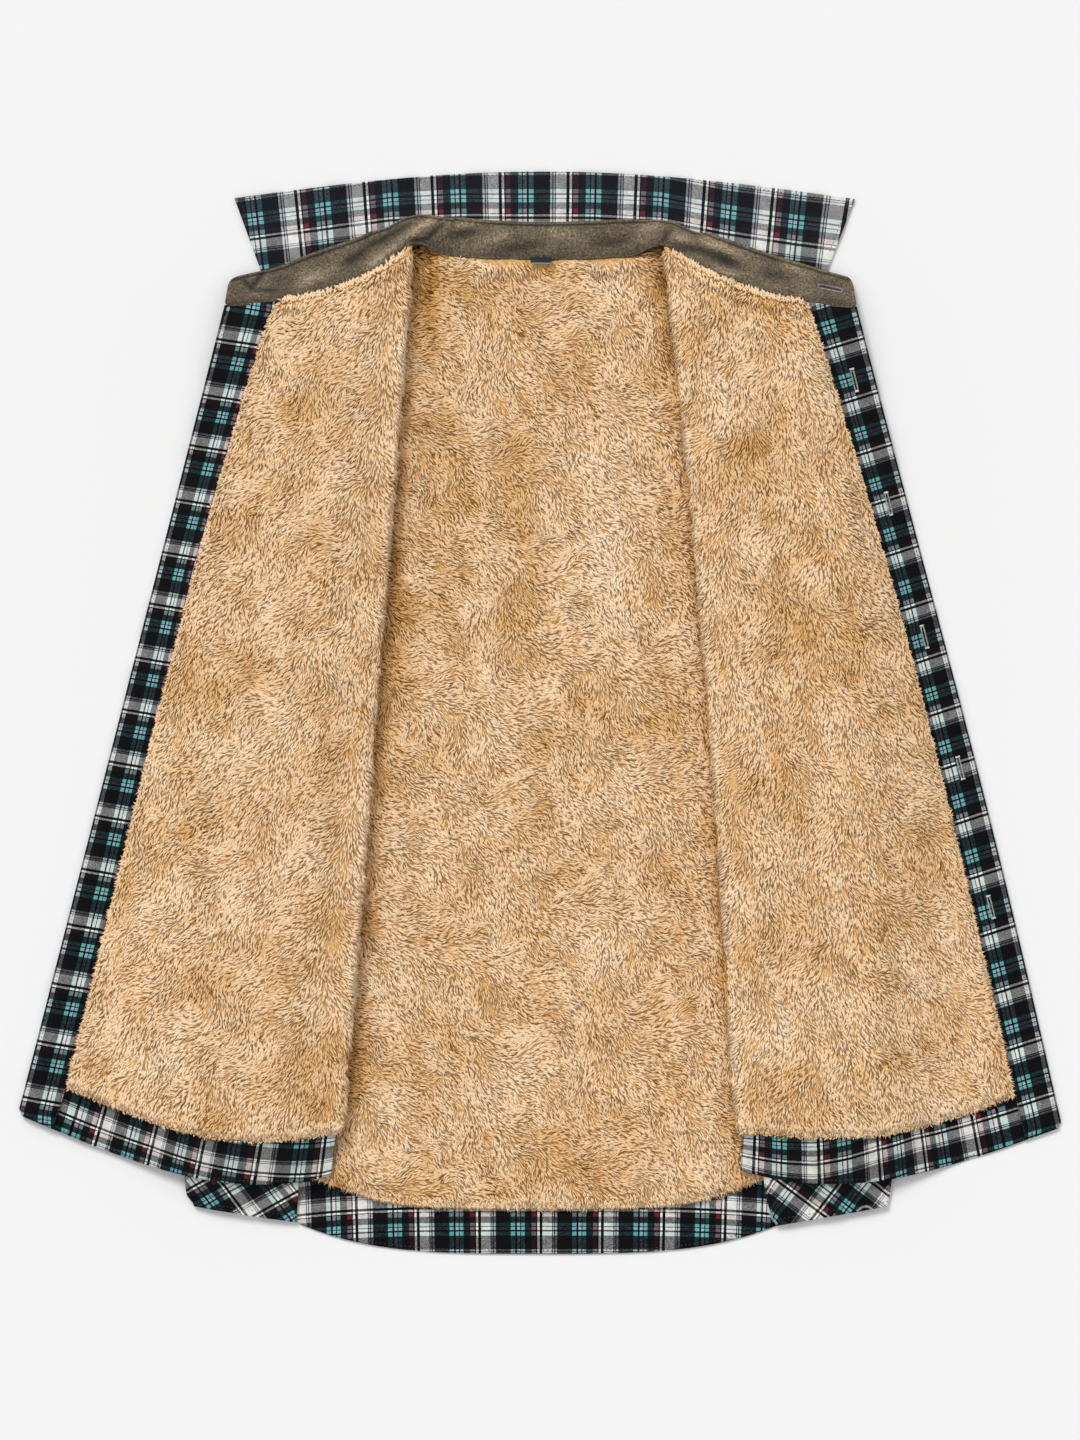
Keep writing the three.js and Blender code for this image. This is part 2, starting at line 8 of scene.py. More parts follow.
import math
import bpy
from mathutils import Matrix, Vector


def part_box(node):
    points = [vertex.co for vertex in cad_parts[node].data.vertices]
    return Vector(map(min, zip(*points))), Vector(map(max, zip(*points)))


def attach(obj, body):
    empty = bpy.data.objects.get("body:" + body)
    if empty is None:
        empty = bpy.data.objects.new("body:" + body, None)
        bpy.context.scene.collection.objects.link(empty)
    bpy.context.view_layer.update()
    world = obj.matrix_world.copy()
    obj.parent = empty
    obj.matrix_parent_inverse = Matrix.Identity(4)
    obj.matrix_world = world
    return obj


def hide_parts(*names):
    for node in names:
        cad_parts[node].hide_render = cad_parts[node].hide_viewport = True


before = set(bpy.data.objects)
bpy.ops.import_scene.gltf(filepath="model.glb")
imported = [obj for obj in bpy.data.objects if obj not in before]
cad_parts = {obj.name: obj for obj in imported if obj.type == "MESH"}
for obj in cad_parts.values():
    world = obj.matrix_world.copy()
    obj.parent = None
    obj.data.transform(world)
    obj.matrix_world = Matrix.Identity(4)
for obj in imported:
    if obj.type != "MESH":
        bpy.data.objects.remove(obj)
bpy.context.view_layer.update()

from types import SimpleNamespace

import bmesh
import bpy
import numpy as np
from bpy.props import FloatProperty, FloatVectorProperty, IntProperty, PointerProperty

bl_info = {
    "name": "Plaid Overshirt",
    "version": (1, 0, 0),
    "blender": (4, 5, 0),
    "location": "View3D > Sidebar > Overshirt",
    "description": "Makes a plush-lined plaid overshirt, laid open, around its packed part",
    "category": "Object",
}

MM = 0.001

# ---------------------------------------------------------------- layers, in millimetres

GAP = 0.3  # between one layer and the next
SEAM_GAP = 0.95  # from the neck seam to the collar band
CLOTH = 1.2  # the flannel's thickness
BACK_PILE = 6.5
FRONT_PILE = 6
TRIM = 2.4  # thickness of the collar and of its band
FOLD_GAP = 1.6  # air inside a front's fold
SLEEVE_RISE = 6.2  # how far a sleeve lifts its front
SLEEVE_FULL = 6.6
SLEEVE_THIN = 1
BACK_TOP = CLOTH + GAP + BACK_PILE
SHELL_IN = FOLD_GAP / 2  # faces of a turned front, by their distance from the fold's core
SHELL_OUT = SHELL_IN + CLOTH
PILE_IN = SHELL_OUT + GAP
PILE_OUT = PILE_IN + FRONT_PILE
FOLD_HEIGHT = BACK_TOP + GAP + PILE_OUT
HEM_FOLD_HEIGHT = BACK_TOP + GAP + SHELL_OUT
SEAM_PILE = 0.4  # shares of the pile's height that are left at the neck seam and at a cut edge
CUT_PILE = 0.6
BEND = 0.985  # shares of a lining's length and width where its edges begin
NECK_RIM = 0.012
PILE_RIM = 0.97
BACKING_DROP = 2.1  # how far the pile's backing lies below the tops of its locks
BACKING = 3.2  # the backing's thickness

# ---------------------------------------------------------------- outlines, in millimetres

RIGHT = dict(
    name="right", side=-1, button_room=3.2,
    neck_point=(92.5, 346.5), neck_front=(233, 301), neckline=(-14.8, 0.45), pile_at_neck=0.735,
    pile_fold=(143.5, -308), fold_edge=(0, 0.5), pile_corner=(350, -277), pile_edge=(7.6, 0.34),
    pile_hem=(-19.6, 0.46), band_corner=(377.7, -264), hem_fold=(147, -337.6),
    hem_corner=(386.3, -297), hem=(-24, 0.4), front_edge=(0, 0.5), pile_at_hem=0.885,
)
LEFT = dict(
    name="left", side=1, button_room=0,
    neck_point=(89.5, 345), neck_front=(234, 300), neckline=(-12.6, 0.5), pile_at_neck=0.752,
    pile_fold=(143.5, -309.6), fold_edge=(5.2, 0.42), pile_corner=(351, -283), pile_edge=(8.9, 0.44),
    pile_hem=(-15.4, 0.53), band_corner=(378.6, -273), hem_fold=(141.3, -334.5),
    hem_corner=(386.3, -306.4), hem=(-23.8, 0.42), front_edge=(3.2, 0.62), pile_at_hem=0.885,
)
# Shares of the length, and how far out the side seam and the back's edge are there.
SIDE_WIDE = [(0, 134), (0.12, 122), (0.28, 130), (0.6, 124), (1, 112)]
SIDE_HALF = [(0, 222), (0.12, 214), (0.28, 226), (0.6, 240), (1, 256)]
# Places along the band, its height there and how far it leans along the seam.
BAND = [
    (0, 18.3, 0.2), (0.03, 21, -0.05), (0.1, 25.6, -0.2), (0.15, 30.4, -0.17), (0.2, 31.1, -0.1),
    (0.25, 27.9, -0.02), (0.28, 25.6, 0.03), (0.3, 18.9, 0.05), (0.35, 26.6, 0.03), (0.4, 27.9, 0),
    (0.5, 26.7, 0), (0.6, 27, 0), (0.65, 24.3, 0.04), (0.68, 17.8, 0.08), (0.7, 18.8, 0.1),
    (0.72, 24.2, 0.1), (0.75, 27.4, 0.1), (0.8, 30, 0.1), (0.85, 30.1, 0.16), (0.9, 27.9, 0.2),
    (0.97, 22.4, 0.05), (1, 20.4, -0.2),
]
# Tables of (height on the plan, place across), and of (share of a cuff's length, height).
SLEEVE_INNER = [(298, 124), (230, 126), (120, 134), (-120, 152), (-303, 172)]
SLEEVE_OUTER = [(298, 208), (230, 212), (120, 228), (-120, 242), (-303, 256)]
CUFF_HIGH = [(0, 16.1), (0.17, 13.5), (0.46, 9), (0.62, 6), (0.76, 2.3), (1, 1.5)]
CUFFS = {
    "right": dict(root=(176, 255), mouth=(180, 262), mouth_up=(-377, -365), slant=1, corner=6),
    "left": dict(root=(164.5, 254), mouth=(175, 259), mouth_up=(-379.5, -365), slant=4, corner=1.5),
}
SLEEVE_TOP = 298
SLEEVE_FOOT = -303.3
BACK_NECK_DIP = 11.3
SHOULDER_TUCK = 7
SIDE_FOOT = 323
HEM_DROP = 400.3
HEM_FULLNESS = 3.45
BACK_BAND = 33


# ---------------------------------------------------------------- curves

def lerp(a, b, t):
    """The value a share t of the way from a to b."""
    return a + (b - a) * t


def ease(t):
    """0 to 1 with a soft start and end."""
    t = np.clip(t, 0, 1)
    return t * t * (3 - 2 * t)


def column(rows):
    """A smooth curve through pairs of (place, value)."""
    xs, ys = np.array(sorted(rows), float).T
    low = np.maximum(np.arange(len(xs)) - 1, 0)
    high = np.minimum(np.arange(len(xs)) + 1, len(xs) - 1)
    slope = (ys[high] - ys[low]) / (xs[high] - xs[low])

    def value(t):
        t = np.asarray(t, float)
        i = np.clip(np.searchsorted(xs, t, side="right") - 1, 0, len(xs) - 2)
        wide = xs[i + 1] - xs[i]
        s = np.clip((t - xs[i]) / wide, 0, 1)
        bend = wide * s * (1 - s) * ((1 - s) * slope[i] - s * slope[i + 1])
        return lerp(ys[i], ys[i + 1], s * s * (3 - 2 * s)) + bend

    return value


def bowed(p, q, bow, peak):
    """A straight line from p to q, bowed sideways, widest at peak."""
    run = np.subtract(q, p)
    length = math.hypot(*run)
    skew = math.log(0.5) / math.log(peak)

    def at(t):
        off = bow * np.sin(np.pi * np.clip(t, 0, 1) ** skew)
        x = p[0] + run[0] * t - run[1] / length * off
        return np.array([x, p[1] + run[1] * t + run[0] / length * off])

    return at


def waves(x, y, size, seed, count=7):
    """Soft uneven noise between about -1 and 1, whose waves are about size long."""
    draw = np.random.default_rng(seed)
    total = 0
    for _ in range(count):
        turn, phase = draw.uniform(0, 2 * math.pi, 2)
        rate = 2 * math.pi / (size * draw.uniform(0.7, 1.5))
        total = total + np.sin((x * math.cos(turn) + y * math.sin(turn)) * rate + phase)
    return total / math.sqrt(count)


def creases(x, y, lines):
    """The lift of soft ridges and troughs, each from one end to the other, with its width and height."""
    lift = np.zeros_like(x, dtype=float)
    for (x0, y0), (x1, y1), wide, high in lines:
        run = (x1 - x0, y1 - y0)
        t = np.clip(((x - x0) * run[0] + (y - y0) * run[1]) / (run[0] ** 2 + run[1] ** 2), 0, 1)
        away = np.hypot(x - x0 - t * run[0], y - y0 - t * run[1])
        lift += high * np.exp(-((away / wide) ** 2)) * (1 - 0.6 * np.abs(2 * t - 1) ** 3)
    return lift


# ---------------------------------------------------------------- the garment's own shape

side_wide = column(SIDE_WIDE)
side_half = column(SIDE_HALF)


class Front:
    """A turned front as it lies. u: 0 fold, 1 pile edge, 2 front edge; v: 0 neck, 1 pile foot, 2 hem."""

    def __init__(self, spec):
        self.__dict__.update(spec)
        self.neck = bowed(self.neck_point, self.neck_front, *self.neckline)
        self.hem_line = bowed(self.hem_fold, self.hem_corner, *self.hem)
        self.pile_foot = bowed(self.pile_fold, self.pile_corner, *self.pile_hem)
        top, end = self.neck(self.pile_at_neck), self.hem_line(self.pile_at_hem)
        self.fold = self.rail(self.neck_point, self.pile_fold, self.hem_fold, self.fold_edge)
        self.pile_side = self.rail(top, self.pile_corner, end, self.pile_edge)
        self.edge = self.rail(self.neck_front, self.band_corner, self.hem_corner, self.front_edge)

    @staticmethod
    def rail(top, foot, end, bow):
        """A line down the front, bowed to the pile's foot and straight on to the hem."""
        upper = bowed(top, foot, *bow)

        def at(v):
            v = np.asarray(v, float)
            lower = [foot[k] + (end[k] - foot[k]) * (v - 1) for k in (0, 1)]
            return np.where(v <= 1, upper(v), lower)

        return at

    def straight(self, u, v):
        """A place on the plan, straight across between the lines."""
        fold, pile, edge = self.fold(v), self.pile_side(v), self.edge(v)
        return np.where(u <= 1, lerp(fold, pile, u), lerp(pile, edge, u - 1))

    def plan(self, u, v):
        """A place on the plan, with the bows of the neck, the pile's foot and the hem."""
        u, v = np.broadcast_arrays(np.asarray(u, float), np.asarray(v, float))
        share = lambda at: np.where(u <= 1, u * at, lerp(at, 1, u - 1))
        still = np.zeros_like(u)
        at_neck = self.neck(share(self.pile_at_neck)) - self.straight(u, still)
        at_foot = np.where(u <= 1, self.pile_foot(u) - self.straight(u, still + 1), 0)
        at_hem = self.hem_line(share(self.pile_at_hem)) - self.straight(u, still + 2)
        drift = np.where(v <= 1, lerp(at_neck, at_foot, v), lerp(at_foot, at_hem, v - 1))
        return self.straight(u, v) + drift

    def pile_width(self, v):
        """From the fold to the pile's edge."""
        return np.hypot(*(self.fold(v) - self.pile_side(v)))

    def band_width(self, v):
        """From the pile's edge to the front edge."""
        return np.hypot(*(self.pile_side(v) - self.edge(v)))


FRONTS = [Front(RIGHT), Front(LEFT)]


def fold_height(v):
    """Height of the fold's core above the table."""
    return lerp(FOLD_HEIGHT, HEM_FOLD_HEIGHT, ease(v - 1))


SLEEVE_START = 14  # from a front's fold to where its sleeve begins to lift it
SLEEVE_SLOPE = 26
NECK_REST = 9  # how high the front edge rests at the neck, and the share of its length to lie down
NECK_REST_LONG = 0.4
EDGE_SLOPE = 8
FALL_BEFORE = 12  # a front falls from this far inside its side seam to this far outside it
FALL_AFTER = 62


def underside(front, a, b, v):
    """Height of the turned front's underside, a from the fold and b in from the front edge."""
    seam = side_wide(v)
    along = ease(0.35 + v / 0.1) * (1 - ease((v - 1.2) / 0.8))
    room = SLEEVE_RISE * ease((a - SLEEVE_START) / SLEEVE_SLOPE) * along
    down = np.clip(v / NECK_REST_LONG, 0, 1)
    edge = NECK_REST * (1 - down) ** 2 + front.button_room * ease(b / EDGE_SLOPE) * down
    plateau = fold_height(v) + SHELL_IN + room
    start = seam - FALL_BEFORE
    end = np.minimum(seam + FALL_AFTER, a + b)
    return lerp(plateau, edge, ease((a - start) / (end - start)))


def squash(share):
    """How thick the turned part still is, a share of the way to its seam."""
    return lerp(1, 0.45, ease((share - 0.6) / 0.4))


def lower_row(a, v):
    """The row that the turned part lies at, drawn in a little away from the fold."""
    climb = ease(a / 22)
    return np.minimum(v, 1) * (1 - 0.1 * climb) + np.maximum(0, v - 1) * (1 - 0.96 * climb)


def turned(front, radius, thickness=None):
    """One face of a turned front. c runs from its edge (2) over the fold (0 to -1) to the seam (-2)."""

    def place(c, v):
        c, v = np.broadcast_arrays(np.asarray(c, float), np.asarray(v, float))
        reach = front.pile_width(v)
        over = np.maximum(c, 0)
        u = np.where(over <= 1, lerp(PILE_OUT / reach, 1, over), over)
        a = np.where(u <= 1, u * reach, reach + (u - 1) * front.band_width(v))
        b = reach + front.band_width(v) - a
        full = 1 if thickness is None else thickness(u, v)
        top_z = underside(front, a, b, v) + (radius - SHELL_IN) * full
        top = [*front.plan(u, v), top_z]

        turn = np.pi * (0.5 + np.clip(c, -1, 0))
        a = PILE_OUT - radius * np.cos(turn)
        roll = [*front.plan(a / reach, v), fold_height(v) + radius * np.sin(turn)]

        share = np.clip(-c - 1, 0, 1)
        a = lerp(PILE_OUT, side_wide(np.minimum(v, 1)), share)
        row = lower_row(a - PILE_OUT, v)
        drop = np.where(row <= 1, PILE_OUT, lerp(PILE_OUT, SHELL_OUT, ease(row - 1)))
        floor = fold_height(row) - drop
        low_z = floor + (fold_height(row) - radius - floor) * squash(share)
        low = [*front.plan(a / front.pile_width(row), row), low_z]

        x, y, z = np.where(c >= 0, top, np.where(c > -1, roll, low))
        return np.stack([front.side * x, y, z], -1)

    return place


def pile_share(u, v):
    """The backing's height over its shell, as a share of its full one."""
    under = PILE_IN - SHELL_IN
    at_neck = lerp(SEAM_PILE, 1, ease(v / NECK_RIM))
    at_foot = lerp(1, CUT_PILE, ease((v - BEND) / (1 - BEND)))
    at_edge = lerp(1, CUT_PILE, ease((u - PILE_RIM) / (1 - PILE_RIM)))
    return (under + FRONT_PILE * at_neck * at_foot * at_edge) / (under + FRONT_PILE)


def back_plan(s, v):
    """s: -1 to 1 across, v: 0 at the neck, 1 at the lining's foot, 2 at the hem."""
    s, v = np.broadcast_arrays(np.asarray(s, float), np.asarray(v, float))
    out = np.abs(s) * side_half(0)
    neck_x, neck_y = FRONTS[0].neck_point
    inner = neck_y - BACK_NECK_DIP * np.cos(np.pi / 2 * np.minimum(out / neck_x, 1) ** 2)
    tops = []
    for front in FRONTS:
        share = np.maximum(out - neck_x, 0) / front.pile_width(0)
        tops.append(front.plan(share, 0)[1] - SHOULDER_TUCK * ease(share * 4))
    top = np.where(out <= neck_x, inner, np.where(s < 0, tops[0], tops[1]))
    hem = -lerp(HEM_DROP, SIDE_FOOT, np.abs(s) ** HEM_FULLNESS)
    foot = hem + BACK_BAND
    y = np.where(v <= 1, lerp(top, foot, v), lerp(foot, hem, v - 1))
    return s * side_half(np.minimum(v, 1)), y


def back_pile_height(v, drop=0):
    """Height of the back's pile above the table, lower at the neck seam and at its cut foot."""
    at_neck = lerp(SEAM_PILE, 1, ease(v / NECK_RIM))
    at_foot = lerp(1, CUT_PILE, ease((v - BEND) / (1 - BEND)))
    return CLOTH + GAP + (BACK_PILE - drop) * at_neck * at_foot


def spline(points, fine=80):
    """A smooth line through points, told by its length."""
    points = np.array(points, float)
    ends = np.vstack([points[:1], points, points[-1:]])
    t = np.linspace(0, 1, fine, endpoint=False)[:, None]
    runs = []
    for i in range(len(points) - 1):
        p0, p1, p2, p3 = ends[i : i + 4]
        v0, v1 = (p2 - p0) / 2, (p3 - p1) / 2
        cubic, square = 2 * p1 - 2 * p2 + v0 + v1, -3 * p1 + 3 * p2 - 2 * v0 - v1
        runs.append(cubic * t ** 3 + square * t ** 2 + v0 * t + p1)
    line = np.vstack([*runs, points[-1:]])
    gone = np.concatenate([[0], np.cumsum(np.hypot(*np.diff(line, axis=0).T))])
    length = gone[-1]

    def at(s):
        s = np.clip(s, 0, 1) * length
        return np.array([np.interp(s, gone, line[:, 0]), np.interp(s, gone, line[:, 1])])

    def tangent(s):
        step = 0.001
        run = at(np.clip(s + step, 0, 1)) - at(np.clip(s - step, 0, 1))
        return run / np.hypot(*run)

    return SimpleNamespace(at=at, tangent=tangent, length=length)


def neck_seam():
    """The band's sewn edge, one smooth run over the right front, the back and the left front."""
    right, left = FRONTS
    shares = np.arange(9) / 8
    lift = lambda x: 0.8 * (1 - ease((np.abs(x) - right.neck_point[0]) / 20))
    points = []
    for t in shares:
        x, y = right.neck(1 - t)
        points.append((-x, y + lift(x)))
    for t in shares[1:-1]:
        x = lerp(-right.neck_point[0], left.neck_point[0], t)
        points.append((x, float(back_plan(x / side_half(0), 0)[1])))
    for t in shares:
        x, y = left.neck(t)
        points.append((x, y + lift(x)))
    return spline(points)


SEAM = neck_seam()
band_tall = column([(place, tall) for place, tall, _ in BAND])
band_lean = column([(place, lean) for place, _, lean in BAND])


def seam_height(x, y):
    """Height of the layers at a place on the neck seam."""
    heights = []
    for front in FRONTS:
        out, up = front.neck_point
        full = front.pile_width(0) + front.band_width(0)
        away = np.where(np.abs(x) < out, 0, np.hypot(np.abs(x) - out, y - up))
        a = np.minimum(np.maximum(PILE_OUT, away), full)
        climb = ease(1 - (out - np.abs(x)) / 26)
        heights.append(lerp(2.2, underside(front, a, np.maximum(0, full - a), np.zeros_like(a)), climb))
    return np.where(x < 0, *heights)


def band_plan(s, n):
    """s: 0 to 1 along the neck seam, n: 0 at the seam, 1 at the band's free edge."""
    x, y = SEAM.at(s)
    ax, ay = SEAM.tangent(s)
    rise = n * band_tall(s) + SEAM_GAP
    side = rise * band_lean(s)
    return x - ay * rise + ax * side, y + ax * rise + ay * side


def band_height(s, n):
    """Height of the band's underside, from the seam down onto the collar."""
    return lerp(seam_height(*SEAM.at(s)), TRIM + GAP, ease(n * 0.92))


COLLAR_TOP = bowed((-226, 380.6), (233, 380), 20, 0.5)


def collar_plan(t, n):
    """t: 0 to 1 along the collar, n: 0 under the band, 1 at its free edge."""
    sewn = np.array(band_plan(lerp(0.062, 0.938, t), 1 - 6 / 27))
    ends = np.array([lerp(-205.7, 211, t), lerp(327.6, 326.2, t) - 3])
    free = 1 - ease(np.minimum(t, 1 - t) / 0.05)
    return lerp(lerp(sewn, ends, free), COLLAR_TOP(t), n)


sleeve_inner = column(SLEEVE_INNER)
sleeve_outer = column(SLEEVE_OUTER)
cuff_high = column(CUFF_HIGH)


# ---------------------------------------------------------------- how the plaid lies on each piece

# The weave map holds how many repeats of the plaid each point lies along the warp and along the weft.
WHITE_LINE = 0.72  # places in one repeat
FIRST_TEAL = 0.0345
CLUSTER = 0.113
LIGHT_BAND = 0.59


def table(*pairs):
    """Straight runs between pairs of (place, value)."""
    xs, ys = np.array(sorted(pairs), float).T
    return lambda t: np.interp(t, xs, ys)


def long_table(places, first, step):
    """Repeats counted at places that are a repeat apart, carried on beyond both ends."""
    places = np.array(places, float)
    counts = first + step * np.arange(len(places))
    order = np.argsort(places)
    xs, ys = places[order], counts[order]

    def at(t):
        near = np.interp(t, xs, ys)
        before = ys[0] + (t - xs[0]) * (ys[1] - ys[0]) / (xs[1] - xs[0])
        after = ys[-1] + (t - xs[-1]) * (ys[-1] - ys[-2]) / (xs[-1] - xs[-2])
        return np.where(t < xs[0], before, np.where(t > xs[-1], after, near))

    return at


FACING = {
    "right": dict(
        rows=long_table(
            [278.8, 237.3, 200.3, 160.4, 121.1, 83.4, 43.4, 5, -33.5,
             -73.5, -112.7, -153.4, -197.1, -240, -281.4], LIGHT_BAND, -1),
        first=table((296.5, 18.7), (105.6, 14.4), (-135.6, 16.6), (-286.6, 16.6)),
        repeat=table((296.5, 43.7), (216.6, 34.8), (105.6, 31.1), (-35, 37), (-135.6, 42.2)),
        line=2.6, tilt=0.165, level=8.9,
    ),
    "left": dict(
        rows=long_table(
            [268.4, 228.4, 190, 153, 115.2, 74.5, 36, -3.2, -42.4,
             -83.1, -123.8, -166, -208.2, -250.3, -291], LIGHT_BAND, 1),
        first=table((293.6, 21.8), (242.5, 19.8), (90.8, 16), (52.3, 17), (-249.6, 17)),
        repeat=table((293.6, 46.6), (242.5, 37.7), (52.3, 35.5), (-186.7, 42.2)),
        line=2.8, tilt=0.3, level=14.8,
    ),
}


def facing_weave(front):
    """The plaid along a front edge: stripes run down it, and rows follow its table."""
    lie = FACING[front.name]
    out, up = front.edge(np.linspace(0, 2, 200))
    order = np.argsort(up)

    def marks(c, v, spots):
        x, y = np.abs(spots[:, 0]), spots[:, 1]
        inward = np.interp(y, up[order], out[order]) - x
        first, repeat = lie["first"](y), lie["repeat"](y)
        outer = first - lie["line"]
        warp = np.where(
            inward < first,
            FIRST_TEAL - (first - inward) / outer * (1 + FIRST_TEAL - WHITE_LINE),
            FIRST_TEAL + (inward - first) / repeat,
        ) + 1
        warp = np.where(warp < WHITE_LINE, 2 * WHITE_LINE - warp, warp)
        weft = lie["rows"](y + lie["tilt"] * (inward - lie["level"]))
        return np.stack([warp, weft], -1)

    return marks


# Stripes met going inwards along each hem: their places across, and the repeats counted there.
HEM_STRIPES = {
    "right": (-363.3, -341.1, -320.4, -301.9, -281.9, -266.4, -245.7, -228.7, -202.8, -177.6, -155.4, -131.7),
    "left": (362.6, 338.2, 317.5, 297.5, 279.7, 266.4, 245.7, 225.7, 200.5, 176.9, 153.2, 129.5),
}
HEM_COUNTS = (-0.887, 0.113, 0.59, 1.113, 1.59, 2.113, 2.59, 3.113, 3.59, 4.113, 4.59, 5.113)
# The light row's height above each hem.
HEM_LIGHT = {
    "right": table(
        (-344.1, 17.8), (-289.3, 18.5), (-264.2, 17), (-231.6, 14.8), (-201.3, 12.2), (-158.4, 7.4)
    ),
    "left": table(
        (177.6, 8.9), (203.5, 9.6), (229.4, 14.1), (248.6, 18.5), (280.5, 22.2), (317.5, 20.7), (368.5, 17.8)
    ),
}
HEM_REPEAT = 38.5
HEM_BAND_TALL = 33


def hem_weave(front):
    """The plaid of a front's shell, told by its stripes and its light row at the hem."""
    xs, counts = np.array(sorted(zip(HEM_STRIPES[front.name], HEM_COUNTS))).T
    u = np.linspace(-0.3, 2, 300)
    across = front.side * front.plan(u, 1.5)[0]
    order = np.argsort(across)
    stripe_u = np.interp(xs, across[order], u[order])
    by_u = np.argsort(stripe_u)
    light = HEM_LIGHT[front.name]

    def marks(c, v, spots):
        reach = front.pile_width(v)
        upper = np.where(c <= 1, lerp(PILE_OUT / reach, 1, np.clip(c, 0, 1)), c)
        u = np.where(c >= 0, upper, np.where(c > -1, (1 + c) * PILE_OUT / reach, (1 + c) * 0.5))
        warp = np.interp(u, stripe_u[by_u], counts[by_u])
        foot = front.side * front.plan(np.clip(u, 0, 2), 2)[0]
        rise = (2 - v) * HEM_BAND_TALL - light(foot)
        weft = LIGHT_BAND - front.side * rise / HEM_REPEAT  # the left front's rows run the other way
        return np.stack([warp, weft], -1)

    return marks


BACK_HEM_FIRST = -157.8
BACK_HEM_REPEAT = 45.4
BACK_HEM_ROW = -382.1
BACK_HEM_ROWS = 41.4


def back_weave(s, v, spots):
    """The plaid of the back, whose rows bow with its hem."""
    x, y = spots[:, :2].T
    below = BACK_HEM_ROW - y
    warp = (x * (1 + 0.00018 * below) - BACK_HEM_FIRST) / BACK_HEM_REPEAT
    weft = CLUSTER + (y - BACK_HEM_ROW + 4 * (x / 165) ** 4) / BACK_HEM_ROWS
    return np.stack([warp, weft], -1)


COLLAR_ROW = table(
    (-227.9, 363.1), (-210.9, 365.3), (-160.6, 372.7), (-111, 379.8), (-60.7, 382.4),
    (-11.8, 382.4), (39.2, 382.4), (88.8, 380.1), (139.1, 370.5), (190.2, 363.1),
    (236.8, 357.2),
)
COLLAR_MIDDLE = -10.4
COLLAR_REPEAT = 50
COLLAR_ROWS = table((-227.9, 39.2), (-66.6, 42.2), (236.8, 45.1))
COLLAR_FAN = 0.00055  # how much the stripes fan out towards the free edge
COLLAR_TIP = (208.7, 25.2, 5.2)  # where the cloth stretches at the left tip, over how far and by how much


def collar_weave(t, n, spots):
    """The plaid of the collar, whose stripes fan out."""
    x, y = spots[:, :2].T
    level = COLLAR_ROW(x)
    spread = x / (1 + COLLAR_FAN * (y - level))
    warp = CLUSTER + (COLLAR_MIDDLE - spread) / COLLAR_REPEAT
    tip, reach, stretch = COLLAR_TIP
    warp = warp + stretch / COLLAR_REPEAT * ease((x - tip) / reach)
    weft = CLUSTER + (level - y) / COLLAR_ROWS(x)
    return np.stack([warp, weft], -1)


# The cuffs' plaid lies askew: for each way of the stripes, its run and a point on a light band.
CUFF_STRIPES = {
    "right": (((0.486, -0.874), (-178.3, -348.8), -1), ((0.8, 0.6), (-227.9, -350.2), 1)),
    "left": (((-0.6, -0.8), (165.5, -343.6), 1), ((0.8, -0.6), (212.8, -351.7), -1)),
}
CUFF_REPEAT = 40.7


def cuff_weave(name):
    """The plaid of a cuff, from its two runs of stripes."""
    def marks(t, v, spots):
        found = []
        for (ax, ay), (x0, y0), way in CUFF_STRIPES[name]:
            past = (spots[:, 0] - x0) * ax + (spots[:, 1] - y0) * ay
            found.append(LIGHT_BAND + way * past / CUFF_REPEAT)
        return np.stack(found, -1)

    return marks


def plain_weave(u, v, spots):
    """Straight plaid, for cloth that is out of sight."""
    return np.stack([spots[:, 0] / 45, spots[:, 1] / 40], -1)


# ---------------------------------------------------------------- making pieces

# Each finish's name, and the slot that its pieces usually take it from.
FINISHES = {
    "plaid": ("Plaid flannel", "flannel"), "lifted_plaid": ("Plaid flannel, worn", "flannel"),
    "locks": ("Plush locks", "plush"), "backing": ("Plush backing", "plush"),
    "twill": ("Olive twill", "twill"), "label": ("Neck label", "label"),
    "button": ("Dark button", "button"), "thread": ("Thread", "flannel"),
    "pale_thread": ("Pale thread", "flannel"), "olive_thread": ("Olive thread", "twill"),
    "table": ("Pale table", None),
}


def mesh_of(name, bm):
    """The mesh of a finished form, which is then freed."""
    mesh = bpy.data.meshes.new(name)
    bm.to_mesh(mesh)
    bm.free()
    return mesh


def finished(name, mesh, finish):
    """An object that rides on the garment, with its finish."""
    piece = bpy.data.objects.new(name, mesh)
    bpy.context.scene.collection.objects.link(piece)
    mesh.materials.append(finish_of(finish))
    mesh.polygons.foreach_set("use_smooth", np.ones(len(mesh.polygons), bool))
    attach(piece, "root")
    return piece


def thicken(piece, thick):
    """Gives a piece its wall, under its outer face."""
    wall = piece.modifiers.new("Thickness", "SOLIDIFY")
    wall.thickness = thick
    wall.offset = -1


def face_outwards(bm, middle=None):
    """Turns a form's faces upwards, or away from its middle where it has one."""
    facing = 0
    for face in bm.faces:
        way = (0, 0, 1) if middle is None else np.array(face.calc_center_median()) - middle
        facing += face.calc_area() * np.dot(face.normal, way)
    if facing < 0:
        bmesh.ops.reverse_faces(bm, faces=bm.faces[:])


